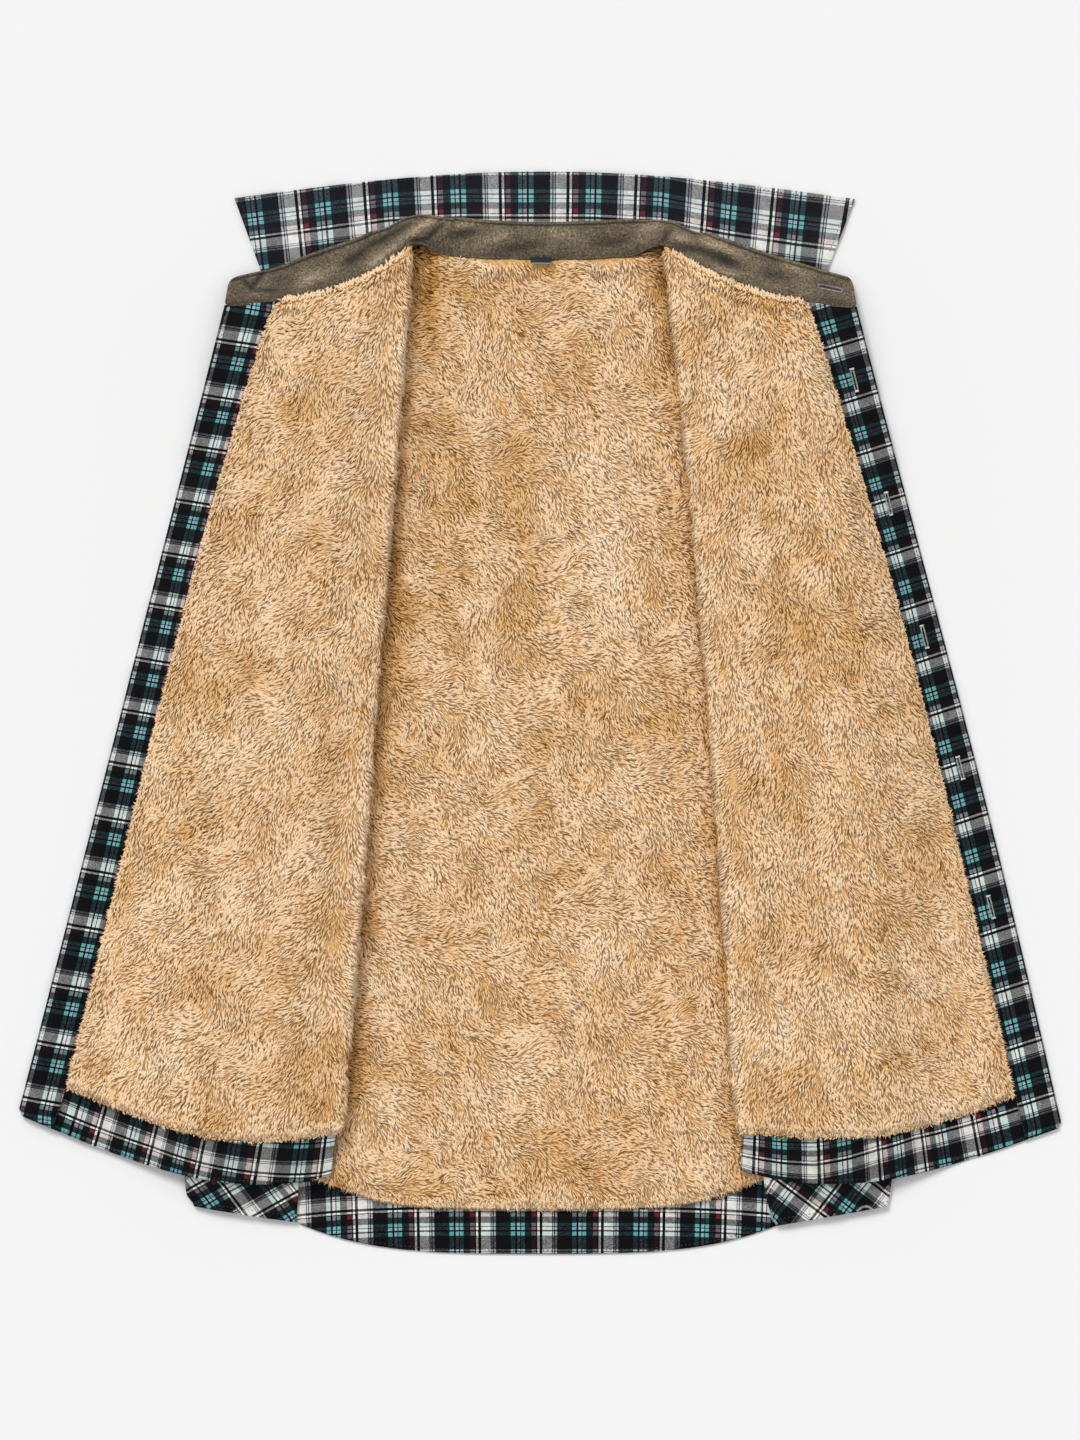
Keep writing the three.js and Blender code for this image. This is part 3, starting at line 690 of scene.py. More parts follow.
def cloth(
    name, columns, rows, place, thick, finish, weave=plain_weave, tube=False, soft_edge=0.0, shade=None
):
    """A grid of cloth laid by place(column, row), with a thickness under its outer face."""
    bm = bmesh.new()
    bmesh.ops.create_grid(bm, x_segments=len(columns) - 1, y_segments=len(rows) - 1, size=0.5)
    bm.verts.index_update()
    flat = np.array([v.co[:2] for v in bm.verts]) + 0.5
    u = np.interp(flat[:, 0], np.linspace(0, 1, len(columns)), columns)
    v = np.interp(flat[:, 1], np.linspace(0, 1, len(rows)), rows)
    spots = place(u, v)
    marks = weave(u, v, spots)
    layer = bm.loops.layers.uv.new("Weave")
    for vert, spot in zip(bm.verts, spots * MM):
        vert.co = spot
    if shade:
        # The Shade layer holds painted shade and tone, which the twill's colour is multiplied by.
        painted_shade_and_tone = bm.verts.layers.float.new("Shade")
        for vert, share in zip(bm.verts, shade(n=v, spots=spots)):
            vert[painted_shade_and_tone] = share
    for face in bm.faces:
        for loop in face.loops:
            loop[layer].uv = marks[loop.vert.index]
    if tube:
        bmesh.ops.remove_doubles(bm, verts=bm.verts[:], dist=1e-6)
    bm.normal_update()
    face_outwards(bm, np.mean(spots, 0) * MM if tube else None)
    piece = finished(name, mesh_of(name, bm), finish)
    thicken(piece, thick * MM)
    if soft_edge:
        edge = piece.modifiers.new("Soft edge", "BEVEL")
        edge.width = soft_edge * MM
        edge.segments = 2
        edge.limit_method = "ANGLE"
        edge.angle_limit = math.radians(50)
    return piece


# ---------------------------------------------------------------- locks of pile and stitches

def spindle(rings):
    """A closed spindle with one or two three-sided rings between its root and its tip."""
    bm = bmesh.new()
    bmesh.ops.create_cone(bm, cap_ends=True, cap_tris=True, segments=3, radius1=1, radius2=rings - 1, depth=1)
    bmesh.ops.triangulate(bm, faces=bm.faces[:])
    bmesh.ops.recalc_face_normals(bm, faces=bm.faces[:])
    bm.verts.index_update()
    co = np.array([v.co[:] for v in bm.verts])
    faces = np.array([[v.index for v in f.verts] for f in bm.faces])
    bm.free()
    ring = np.hypot(co[:, 0], co[:, 1]) > 0.5
    upper = co[:, 2] > 0
    level = np.where(ring, 1 + upper, np.where(upper, rings + 1, 0))
    turn = np.arctan2(co[:, 1], co[:, 0])
    turn = turn + math.pi / 2 - turn[ring][0]  # one side's ridge stands on top
    turn = np.arctan2(np.sin(turn), np.cos(turn))
    return SimpleNamespace(faces=faces, level=level, ring=ring, turn=turn)


def bake_places(form, rings):
    """Where each face's corners lie in a map cell: along the spindle, and round it."""
    around = np.sort(np.unique(np.round(form.turn[form.ring], 4)))
    third = np.searchsorted(around, np.round(form.turn[form.faces], 4) - 0.01) % 3
    third = np.where(form.ring[form.faces], third, -1)
    places = np.zeros((len(form.faces), 3, 2))
    for f, (levels, thirds) in enumerate(zip(form.level[form.faces], third)):
        known = [t for t in thirds if t >= 0]
        wraps = max(known) - min(known) == 2
        on = [t + 3 if wraps and t == 0 else t for t in known]
        middle = sum(on) / len(on)
        for k in range(3):
            t = middle if thirds[k] < 0 else thirds[k] + (3 if wraps and thirds[k] == 0 else 0)
            places[f, k] = levels[k] / (rings + 1), t / 3
    return places


CELL_RIM, CELL_FULL = 0.14, 0.72  # shares of a map cell that are left bare before a spindle, and filled


def spindles(name, strands, profile, cells, finish):
    """Many spindles as one mesh. Each strand has a root, a way to run, an up and its sizes, in mm."""
    rings = len(profile.reach) - 2
    form = spindle(rings)
    count, level = len(strands.root), form.level
    side = np.cross(strands.up, strands.way)
    reach = profile.reach[level]
    lift = profile.lift[level]
    round_x = np.where(form.ring, np.cos(form.turn), 0) * profile.wide[level]
    round_z = np.where(form.ring, np.sin(form.turn), 0) * profile.wide[level] * profile.flat
    along = strands.length[:, None] * reach
    up = strands.rise[:, None] * lift + strands.wide[:, None] * round_z
    sway = strands.sway[:, None] * profile.sway[level] + strands.wide[:, None] * round_x
    spots = (
        strands.root[:, None]
        + strands.way[:, None] * along[..., None]
        + strands.up[:, None] * up[..., None]
        + side[:, None] * sway[..., None]
    )
    mesh = bpy.data.meshes.new(name)
    corners = len(form.faces) * 3
    index = (form.faces.ravel() + np.arange(count)[:, None] * len(level)).ravel()
    mesh.vertices.add(count * len(level))
    mesh.vertices.foreach_set("co", (spots * MM).ravel())
    mesh.loops.add(count * corners)
    mesh.loops.foreach_set("vertex_index", index.astype(np.int32))
    mesh.polygons.add(count * len(form.faces))
    mesh.polygons.foreach_set("loop_start", np.arange(0, count * corners, 3, dtype=np.int32))
    mesh.update(calc_edges=True)
    tone = mesh.attributes.new("Tone", "FLOAT", "POINT")
    # painted light round each spindle: a highlight along the top of its ring, and painted shade on its sides
    ridge = np.where(form.ring, np.where(np.sin(form.turn) > 0.5, profile.ridge, profile.side), 0)
    tones = strands.tone[:, None] + profile.tone[level] + ridge
    tone.data.foreach_set("value", tones.ravel().astype(np.float32))
    # each spindle has a cell of its own on the OFBake map
    cell = np.stack([np.arange(count) % cells, np.arange(count) // cells], -1)[:, None]
    bake = (cell + CELL_RIM + CELL_FULL * bake_places(form, rings).reshape(1, -1, 2)) / cells
    mesh.uv_layers.new(name="OFBake").data.foreach_set("uv", bake.astype(np.float32).ravel())
    return finished(name, mesh, finish)


# A lock is darkened at its root with painted shade, and its ring has a painted highlight on top and painted
# shade on its sides.
LOCK = SimpleNamespace(
    reach=np.array([0, 0.45, 1]), lift=np.array([-0.25, 1, 0.7]), wide=np.array([0, 0.5, 0]), flat=0.55,
    sway=np.array([0, 0.2, 1.2]), tone=np.array([-0.25, 0, 0.02]), ridge=0.03, side=-0.24,
)
STITCH = SimpleNamespace(
    reach=np.array([-0.5, -0.2, 0.2, 0.5]), lift=np.array([-0.5, 1, 1, -0.5]),
    wide=np.array([0, 0.5, 0.5, 0]), flat=0.8, sway=np.array([0, 0, 0, 0]),
    tone=np.array([0, 0, 0, 0]), ridge=0, side=0,
)


def unit(vectors):
    """The same directions, one long."""
    return vectors / np.linalg.norm(vectors, axis=-1, keepdims=True)


DARK_LOCKS, DARKER = 0.035, 0.3  # the share of locks that lie in the shade of others, and by how much


def combed(place, u, v, angle, plush, draw, tone, long=1.0):
    """Locks rooted at (u, v) of a surface, lying along a plan angle."""
    root = place(u, v)
    step = 1e-3
    across = place(u + step, v) - root
    down = place(u, v + step) - root
    up = unit(np.cross(across, down))
    up = np.where(np.abs(up[:, 2:]) > 1e-6, up * np.sign(np.mean(up[:, 2])), up)
    way = np.stack([np.cos(angle), np.sin(angle), np.zeros_like(angle)], -1)
    way = unit(way - up * np.sum(way * up, -1, keepdims=True))
    count = len(u)
    length = plush.lock_length * draw.uniform(0.7, 1.3, count) * long
    clump = waves(*root[:, :2].T, 11, 31)
    full = waves(*root[:, :2].T, 34, 61)  # where the plush closes over, and where it parts
    rise = plush.lock_rise * (1 + 0.28 * clump + draw.uniform(-0.25, 0.25, count))
    wide = plush.lock_width * draw.uniform(0.8, 1.3, count) * (1.06 + 0.2 * full)
    sway = draw.normal(0, 1.0, count) + 1.4 * waves(*root[:, :2].T, 16, 57)
    tone = tone + 0.035 * clump + draw.normal(0, 0.025, count)
    tone = tone - DARKER * (draw.uniform(0, 1, count) < DARK_LOCKS)
    return SimpleNamespace(
        root=root, way=way, up=up, length=length, rise=rise, wide=wide, sway=sway, tone=tone
    )


def tufts(place, u, v, way, spread, plush, draw, tone, uneven, long):
    """Short locks that hang about one way, over an edge."""
    angle = way + draw.normal(0, spread, len(u))
    return combed(place, u, v, angle, plush, draw, tone + draw.normal(0, uneven, len(u)), long)


SHORTEST_LOCK = 2.2  # in millimetres
LEAST_RATE = 0.05  # locks that hardly run towards an edge are left alone


def trimmed(locks, room, rate, over, draw):
    """Shortens the locks that would reach further than over past an edge, which lies room away."""
    over = over * draw.uniform(-0.4, 1.4, len(room))
    longest = np.where(rate > LEAST_RATE, (room + over) / np.maximum(rate, LEAST_RATE), locks.length)
    locks.length = np.maximum(np.minimum(locks.length, longest), SHORTEST_LOCK)


def joined(*groups):
    """Groups of strands as one."""
    return SimpleNamespace(**{
        key: np.concatenate([getattr(g, key) for g in groups]) for key in vars(groups[0])
    })


def chosen(strands, keep):
    """The strands to keep."""
    return SimpleNamespace(**{key: value[keep] for key, value in vars(strands).items()})


# Browner and paler places of the pile, and painted shadow beside the folds at the neck and below the label:
# middle, half sizes, and how much paler.
PATCHES_AND_PAINTED_SHADOWS = [
    ((44.4, 120.4), 32, 55, 0.10), ((-18.5, 120.4), 16, 90, -0.09), ((-74, 179.6), 24, 60, -0.05),
    ((-51.8, 312.8), 60, 22, -0.05), ((81.4, -12.8), 40, 24, -0.05), ((148, 179.6), 18, 60, -0.07),
    ((214.6, 53.8), 40, 34, -0.08), ((192.4, 142.6), 30, 30, -0.05), ((-222, 231.4), 30, 40, -0.04),
    ((-125.8, 283.2), 24, 34, 0.04), ((-111, 68.6), 16, 90, -0.07), ((14.8, -345.8), 60, 16, -0.04),
    ((133.2, 216.6), 14, 40, 0.06), ((-214.6, 24.2), 60, 14, -0.03), ((37, -301.4), 20, 40, -0.05),
    ((-170.2, -249.6), 30, 40, -0.06), ((236.8, -220), 60, 30, 0.03), ((-288.6, -242.2), 60, 40, 0.03),
    ((251.6, 113), 26, 30, 0.04), ((-162.8, -123.8), 50, 60, 0.03), ((207.2, -123.8), 40, 60, -0.03),
    # The three patches on the next line, and the first on the line after, are painted shadow beside the folds
    # at the neck and below the label.
    ((-85.8, 305.4), 9, 50, -0.13), ((85.1, 329.1), 14, 22, -0.15), ((91.8, 283.2), 7, 40, -0.08),
    ((0.7, 328.3), 9, 5, -0.1), ((118.4, 311.3), 14, 9, -0.05), ((-122.1, 290.6), 16, 14, -0.03),
]


def patch_and_painted_shadow_tone(x, y):
    """How much paler the pile is at each place, with painted shadow near the neck among its patches."""
    tone = 0.06 * waves(x, y, 95, 5) + 0.05 * waves(x, y, 36, 6) + 0.03 * waves(x, y, 19, 7)
    for (x0, y0), rx, ry, amount in PATCHES_AND_PAINTED_SHADOWS:
        tone = tone + 1.8 * amount * np.exp(-(((x - x0) / rx) ** 2) - ((y - y0) / ry) ** 2)
    return tone


FRONT_DOWN, BACK_DOWN = math.radians(268), math.radians(270)  # how the pile hangs over its foot


def front_angle(front, a, x, y, v):
    """The way that a front's pile lies, a from its fold."""
    swirl = 0.42 * waves(x, y, 62, 11 + front.side) + 0.3 * waves(x, y, 27, 14 + front.side)
    beyond_fold = ease((a - 8) / 22)
    if front.side < 0:
        base = lerp(math.radians(300), math.radians(229), beyond_fold)
    else:
        base = FRONT_DOWN + math.radians(50) * ease((a - 60) / 90)
        base = lerp(math.radians(245), base, beyond_fold)
    foot = ease((v - 0.955) / 0.045)  # it hangs straight down at the hem
    return lerp(base, FRONT_DOWN, foot) + swirl * (1 - 0.6 * foot)


def back_angle(x, y, v):
    """The way that the back's pile lies."""
    swirl = 0.6 * waves(x, y, 70, 21) + 0.42 * waves(x, y, 30, 22)
    foot = ease((v - 0.975) / 0.025)
    return lerp(math.radians(320), BACK_DOWN, foot) + swirl * (1 - 0.65 * foot)


FRONT_LONG = 648  # the linings' lengths, in millimetres
BACK_LONG = 715
PILE_CELLS = 144  # map cells to a side, for a piece of pile and for a row of stitches
STITCH_CELLS = 64


def scattered(wide, tall, spacing, draw):
    """Uneven places over a sheet, in shares of its sides; wide may change down the sheet."""
    rows = int(tall / (spacing * 0.95))
    us, vs = [], []
    for k in range(rows):
        v = (k + 0.5) / rows
        count = max(1, int(wide(v) / (spacing * 1.05)))
        u = (np.arange(count) + 0.5 + draw.uniform(-0.48, 0.48, count)) / count
        us.append(np.clip(u, 0, 1))
        vs.append(np.clip(v + draw.uniform(-0.5, 0.5, count) / rows, 0, 1))
    return np.concatenate(us), np.concatenate(vs)


def stitched(name, paths, spacing, length, wide, finish, tone=0.0, across=False):
    """Stitches along each path of points; across them where they bind an edge."""
    roots, ways, ups = [], [], []
    for points in paths:
        points = np.asarray(points, float)
        gone = np.concatenate([[0], np.cumsum(np.linalg.norm(np.diff(points, axis=0), axis=1))])
        at = np.arange(spacing / 2, gone[-1], spacing)
        spots, ahead, behind = [
            np.stack([np.interp(at + past, gone, points[:, k]) for k in range(3)], -1)
            for past in (0, 0.3, -0.3)
        ]
        way = unit(ahead - behind)
        side = unit(np.cross(way, (0, 0, 1)))
        roots.append(spots)
        ways.append(side if across else way)
        ups.append(unit(np.cross(side, way)))
    root = np.concatenate(roots)
    count = len(root)
    draw = np.random.default_rng(len(name) + count)
    strands = SimpleNamespace(
        root=root, way=np.concatenate(ways), up=np.concatenate(ups),
        length=length * draw.uniform(0.85, 1.1, count), rise=np.full(count, wide * 0.45),
        wide=np.full(count, wide), sway=np.zeros(count), tone=tone + draw.normal(0, 0.1, count),
    )
    return spindles(name, strands, STITCH, STITCH_CELLS, finish)


def top_stitched(name, paths, wide=0.55):
    """Top stitching of the flannel."""
    sizes = bpy.context.scene.overshirt.sizes
    return stitched(name, paths, sizes.stitch_gap, sizes.stitch, wide, "thread")


# ---------------------------------------------------------------- finishes

def node(tree, kind, inputs=None, **settings):
    """A node with its settings, whose inputs are values or other nodes' sockets."""
    made = tree.nodes.new(kind)
    for key, value in settings.items():
        setattr(made, key, value)
    for key, value in (inputs or {}).items():
        if isinstance(value, bpy.types.NodeSocket):
            tree.links.new(value, made.inputs[key])
        else:
            made.inputs[key].default_value = value
    return made


def maths(tree, kind, *values):
    """A Math node's value."""
    return node(tree, "ShaderNodeMath", dict(enumerate(values)), operation=kind).outputs[0]


def ramp(tree, value, stops, kind="CONSTANT"):
    """A colour ramp with its stops, each a place and a colour."""
    made = node(tree, "ShaderNodeValToRGB", {"Fac": value})
    bar = made.color_ramp
    bar.interpolation = kind
    while len(bar.elements) < len(stops):
        bar.elements.new(1)
    for element, (place, shade) in zip(bar.elements, stops):
        element.position = place
        element.color = shade if len(shade) == 4 else (*shade, 1)
    return made.outputs


def mixed(tree, share, first, second, blend="MIX"):
    """A share of the second colour laid over the first."""
    return node(
        tree, "ShaderNodeMix", {0: share, 6: first, 7: second}, data_type="RGBA", blend_type=blend
    ).outputs[2]


def scaled(tree, shade, share):
    """A colour made lighter or darker by a share."""
    return node(
        tree, "ShaderNodeVectorMath", {0: shade, "Scale": share}, operation="SCALE"
    ).outputs["Vector"]


GAMMA = 2.2  # from a colour as the eye sees it to the light that it gives


def as_seen(tree, shade):
    """The shader's value of a colour that is given as the eye sees it."""
    return node(tree, "ShaderNodeGamma", {"Color": shade, "Gamma": GAMMA}).outputs[0]


def noise(tree, grain, scale, detail=2):
    """Uneven grain, whose waves are finer for a larger scale."""
    return node(
        tree, "ShaderNodeTexNoise", {"Vector": grain, "Scale": scale, "Detail": detail}
    ).outputs["Fac"]


def bump(tree, height, strength, distance):
    """A normal raised by a height."""
    return node(
        tree, "ShaderNodeBump", {"Height": height, "Strength": strength, "Distance": distance}
    ).outputs["Normal"]


def split(tree, vector):
    """A vector's three values."""
    return node(tree, "ShaderNodeSeparateXYZ", {"Vector": vector}).outputs


def group(name, inputs, outputs):
    """A shader node group with its sockets, and its input and output nodes."""
    tree = bpy.data.node_groups.new(name, "ShaderNodeTree")
    for label, kind, value in inputs:
        socket = tree.interface.new_socket(label, in_out="INPUT", socket_type=f"NodeSocket{kind}")
        if value is not None:
            socket.default_value = value
    for label, kind in outputs:
        tree.interface.new_socket(label, in_out="OUTPUT", socket_type=f"NodeSocket{kind}")
    return tree, tree.nodes.new("NodeGroupInput").outputs, tree.nodes.new("NodeGroupOutput").inputs


def use(tree, grouped, **inputs):
    """A node group placed in a material, with its own values."""
    made = tree.nodes.new("ShaderNodeGroup")
    made.node_tree = grouped
    for key, value in inputs.items():
        socket = made.inputs[key]
        if isinstance(value, bpy.types.NodeSocket):
            tree.links.new(value, socket)
        else:
            socket.default_value = value
    return made.outputs


# One repeat of the plaid: where each stripe starts, and its yarn.
SETT = [
    (0, "teal"), (0.069, "black"), (0.098, "dim"), (0.149, "black"), (0.166, "teal"), (0.225, "navy"),
    (0.336, "red"), (0.412, "black"), (0.432, "white"), (0.466, "black"), (0.514, "light"), (0.67, "black"),
    (0.683, "grey"), (0.704, "navy"), (0.722, "grey"), (0.751, "navy"),
]
# How much each yarn covers the one that it crosses, along the cloth and across it.
COVER = {
    "teal": (0.11, 0.1), "dim": (0.1, 0.08), "red": (0.12, 0.055), "navy": (0.44, 0.44),
    "black": (0.8, 0.62), "white": (0.42, 0.42), "grey": (0.22, 0.2), "light": (0.4, 0.38),
}
TWILL_RUNS = (41 * 2 * math.pi, 37 * 2 * math.pi)  # the flannel's slanting lines, over each way of a repeat
PALE_LIFT = (0.6, 0.61, 0.72, 1)  # a pale colour screened over the plaid, which lifts its darks


def plaid_group(colours):
    """Two sets of yarns woven across each other, read from the weave map."""
    tree, given, out = group(
        "Woven plaid",
        [
            ("Weave", "Vector", None), ("Grain", "Vector", None), ("Heather", "Float", 0.24),
            ("Worn", "Float", 0.0), ("Most", "Float", 1.0),
        ],
        [("Colour", "Color"), ("Height", "Float")],
    )
    ways = split(tree, given["Weave"])
    fine = noise(tree, given["Grain"], 1100)
    soft = noise(tree, given["Grain"], 160, 3)
    wander = maths(tree, "MULTIPLY_ADD", fine, 0.016, -0.008)
    yarns = []
    for k, way in enumerate("XY"):
        stops = [(place, (*getattr(colours, yarn), COVER[yarn][k])) for place, yarn in SETT]
        made = ramp(tree, maths(tree, "FRACT", maths(tree, "ADD", ways[way], wander)), stops)
        yarns.append((made["Color"], made["Alpha"]))
    (warp, warp_cover), (weft, weft_cover) = yarns
    even = maths(tree, "DIVIDE", weft_cover, maths(tree, "ADD", warp_cover, weft_cover))
    thin_ways = maths(tree, "MULTIPLY_ADD", warp_cover, -2.5, 1)
    even = maths(tree, "MINIMUM", even, maths(tree, "MAXIMUM", given["Most"], thin_ways))
    across = maths(tree, "MULTIPLY", ways["Y"], TWILL_RUNS[1])
    twill = maths(tree, "SINE", maths(tree, "MULTIPLY_ADD", ways["X"], TWILL_RUNS[0], across))
    share = maths(tree, "MULTIPLY_ADD", twill, 0.08, even)
    loose = maths(tree, "MULTIPLY", maths(tree, "SUBTRACT", fine, 0.5), given["Heather"])
    both = mixed(tree, maths(tree, "MULTIPLY_ADD", loose, 3, share), warp, weft)
    darks_lifted = mixed(tree, given["Worn"], both, PALE_LIFT, "SCREEN")
    painted_shade_and_tone = scaled(tree, darks_lifted, maths(tree, "MULTIPLY_ADD", soft, 0.36, 0.82))
    tree.links.new(as_seen(tree, painted_shade_and_tone), out["Colour"])
    tree.links.new(maths(tree, "ADD", maths(tree, "MULTIPLY", twill, 0.3), fine), out["Height"])
    return tree


def pile_group(colours):
    """The pile's colour for a tone, from the painted shade deep in the pile to its tips."""
    tree, given, out = group("Pile tone", [("Tone", "Float", 0.5)], [("Colour", "Color")])
    stops = [
        (0, colours.pile_deep), (0.3, colours.pile_shade), (0.6, colours.pile), (1, colours.pile_tip),
    ]
    tree.links.new(as_seen(tree, ramp(tree, given["Tone"], stops, "LINEAR")["Color"]), out["Colour"])
    return tree


def material(key, **shader):
    """A material with its Principled shader, whose constant values stand on its own sockets."""
    made = bpy.data.materials.new(FINISHES[key][0])
    made.use_nodes = True
    tree = made.node_tree
    surface = tree.nodes["Principled BSDF"]
    for label, value in shader.items():
        surface.inputs[label.replace("_", " ")].default_value = value
    grain = node(tree, "ShaderNodeTexCoord").outputs["Object"]

    def put(**sockets):
        for label, value in sockets.items():
            tree.links.new(value, surface.inputs[label.replace("_", " ")])

    return tree, grain, put


def attribute(tree, name):
    """A piece's own value at each place."""
    return node(tree, "ShaderNodeAttribute", attribute_name=name).outputs["Fac"]


def weave_map(tree):
    """Where each place lies in the weave."""
    return node(tree, "ShaderNodeUVMap", uv_map="Weave").outputs["UV"]


def flannel_finishes(colours):
    """Brushed flannel, plain and with its darks lifted a little."""
    plaid = plaid_group(colours)
    flannel = {"Sheen_Weight": 0.02, "Sheen_Roughness": 0.6, "Specular_IOR_Level": 0.12}
    for key, painted_shade_and_tone, most in (("plaid", 0.0, 1.0), ("lifted_plaid", 0.1, 0.45)):
        tree, grain, put = material(key, Roughness=0.92, **flannel)
        woven = use(tree, plaid, Weave=weave_map(tree), Grain=grain, Worn=painted_shade_and_tone, Most=most)
        put(Base_Color=woven["Colour"], Normal=bump(tree, woven["Height"], 0.35, 0.0003))


def plush_finishes(colours):
    """The plush's locks, coloured by their tone, and the shaded backing between them."""
    pile = pile_group(colours)
    warm = {
        "Sheen_Weight": 0.04, "Sheen_Tint": (1, 0.7, 0.36, 1),
        "Specular_IOR_Level": 0.1, "Specular_Tint": (1, 0.72, 0.4, 1),
    }
    tree, grain, put = material("locks", Roughness=0.85, Sheen_Roughness=0.5, **warm)
    flecks = maths(tree, "MULTIPLY_ADD", noise(tree, grain, 900), 0.14, -0.07)
    put(Base_Color=use(tree, pile, Tone=maths(tree, "ADD", attribute(tree, "Tone"), flecks))["Colour"])

    tree, grain, put = material("backing", Roughness=0.95, **warm)
    clumps = noise(tree, grain, 420, 3)
    # The backing is coloured in clumps, from the painted shade deep between the locks up to the pile's own
    # colour.
    shade = use(tree, pile, Tone=maths(tree, "MULTIPLY_ADD", clumps, 0.7, 0.0))["Colour"]
    put(Base_Color=shade, Normal=bump(tree, clumps, 0.9, 0.002))


def twill_finish(colours):
    """Mottled twill, with slanting lines and the band's painted shade."""
    tree, grain, put = material("twill", Roughness=0.85, Sheen_Weight=0.1, Specular_IOR_Level=0.3)
    ways = split(tree, weave_map(tree))
    across = maths(tree, "MULTIPLY", ways["Y"], 4300)
    slant = maths(tree, "SINE", maths(tree, "MULTIPLY_ADD", ways["X"], 5200, across))
    mottle = noise(tree, grain, 780)
    cloud = maths(tree, "MULTIPLY", noise(tree, grain, 60, 3), 0.5)
    share = maths(tree, "ADD", maths(tree, "MULTIPLY_ADD", mottle, 1.9, -0.2), cloud)
    share = maths(tree, "MULTIPLY_ADD", slant, 0.2, share)
    # The band's Shade layer darkens and lightens the twill with painted shade and highlight.
    share = maths(tree, "MULTIPLY", share, attribute(tree, "Shade"))
    height = maths(tree, "MULTIPLY_ADD", slant, 0.25, mottle)
    put(
        Base_Color=as_seen(tree, scaled(tree, tuple(colours.twill), share)),
        Normal=bump(tree, height, 0.5, 0.0004),
    )


def label_finish(colours, label_line):
    """Woven tape with a pale edge below a line."""
    tree, grain, put = material("label", Roughness=0.7, Specular_IOR_Level=0.3)
    line = maths(tree, "LESS_THAN", split(tree, grain)["Y"], label_line * MM)
    threads = noise(tree, grain, 1500)
    tape, edge = [(*(value ** GAMMA for value in shade), 1) for shade in (colours.label, colours.label_edge)]
    shade = scaled(tree, mixed(tree, line, tape, edge), maths(tree, "ADD", threads, 0.5))
    put(Base_Color=shade, Normal=bump(tree, threads, 0.3, 0.0002))


def button_finish(colours):
    """Clouded dark plastic."""
    tree, grain, put = material("button", Roughness=0.35)
    cloud = noise(tree, grain, 220, 3)
    share = maths(tree, "MULTIPLY_ADD", cloud, 0.5, 0.75)
    put(
        Base_Color=as_seen(tree, scaled(tree, tuple(colours.button), share)),
        Roughness=maths(tree, "MULTIPLY_ADD", cloud, 0.25, 0.22),
    )


def thread_finishes(colours):
    """Twisted sewing threads."""
    for key in ("thread", "pale_thread", "olive_thread"):
        tree, grain, put = material(key, Roughness=0.7, Sheen_Weight=0.1)
        twist = noise(tree, grain, 2500)
        share = maths(tree, "MULTIPLY_ADD", twist, 0.4, 0.8)
        share = maths(tree, "ADD", share, attribute(tree, "Tone"))
        shade = as_seen(tree, scaled(tree, tuple(getattr(colours, key)), share))
        put(Base_Color=shade, Normal=bump(tree, twist, 0.4, 0.0002))


def finish_of(key):
    """A finish, made with all the others the first time that one is asked for."""
    name = FINISHES[key][0]
    if name not in bpy.data.materials:
        shirt = bpy.context.scene.overshirt
        flannel_finishes(shirt.colours)
        plush_finishes(shirt.colours)
        twill_finish(shirt.colours)
        label_finish(shirt.colours, shirt.sizes.label_line)
        button_finish(shirt.colours)
        thread_finishes(shirt.colours)
    return bpy.data.materials[name]


# ---------------------------------------------------------------- sizes and colours to change

def length(name, description, default):
    """A size in millimetres that can't be negative."""
    return FloatProperty(name=name, description=description, default=default, min=0)


def colour(name, description, default):
    """A colour as the eye sees it."""
    return FloatVectorProperty(
        name=name, description=description, default=default, size=3, min=0, max=1, subtype="COLOR_GAMMA"
    )


class PlushSizes(bpy.types.PropertyGroup):
    """The pile's locks, in millimetres."""

    lock_length: length("Lock length", "Length of a usual lock of pile, in millimetres", 9.8)
    lock_width: length("Lock width", "Width of a usual lock of pile, in millimetres", 2.0)
    lock_rise: length("Lock rise", "How far a lock stands above the backing, in millimetres", 1.15)
    spacing: length("Spacing", "Distance between the roots of two locks, in millimetres", 1.9)
    seed: IntProperty(
        name="Seed", description="Start of the random numbers that scatter the locks", default=7
    )


class ClothSizes(bpy.types.PropertyGroup):
    """Cloth thicknesses and trims, in millimetres."""

    flannel: length("Flannel", "Thickness of the plaid flannel, in millimetres", CLOTH)
    trim: length("Trim", "Thickness of the collar and its band, in millimetres", TRIM)
    cuff: length("Cuff", "Thickness of one side of a cuff, in millimetres", 1.9)
    stitch: length("Stitch", "Length of one top stitch, in millimetres", 2.1)
    stitch_gap: length("Stitch spacing", "From one top stitch to the next, in millimetres", 3.1)
    label_line: length("Label line", "Height of the label's pale edge on the plan, in millimetres", 332.5)


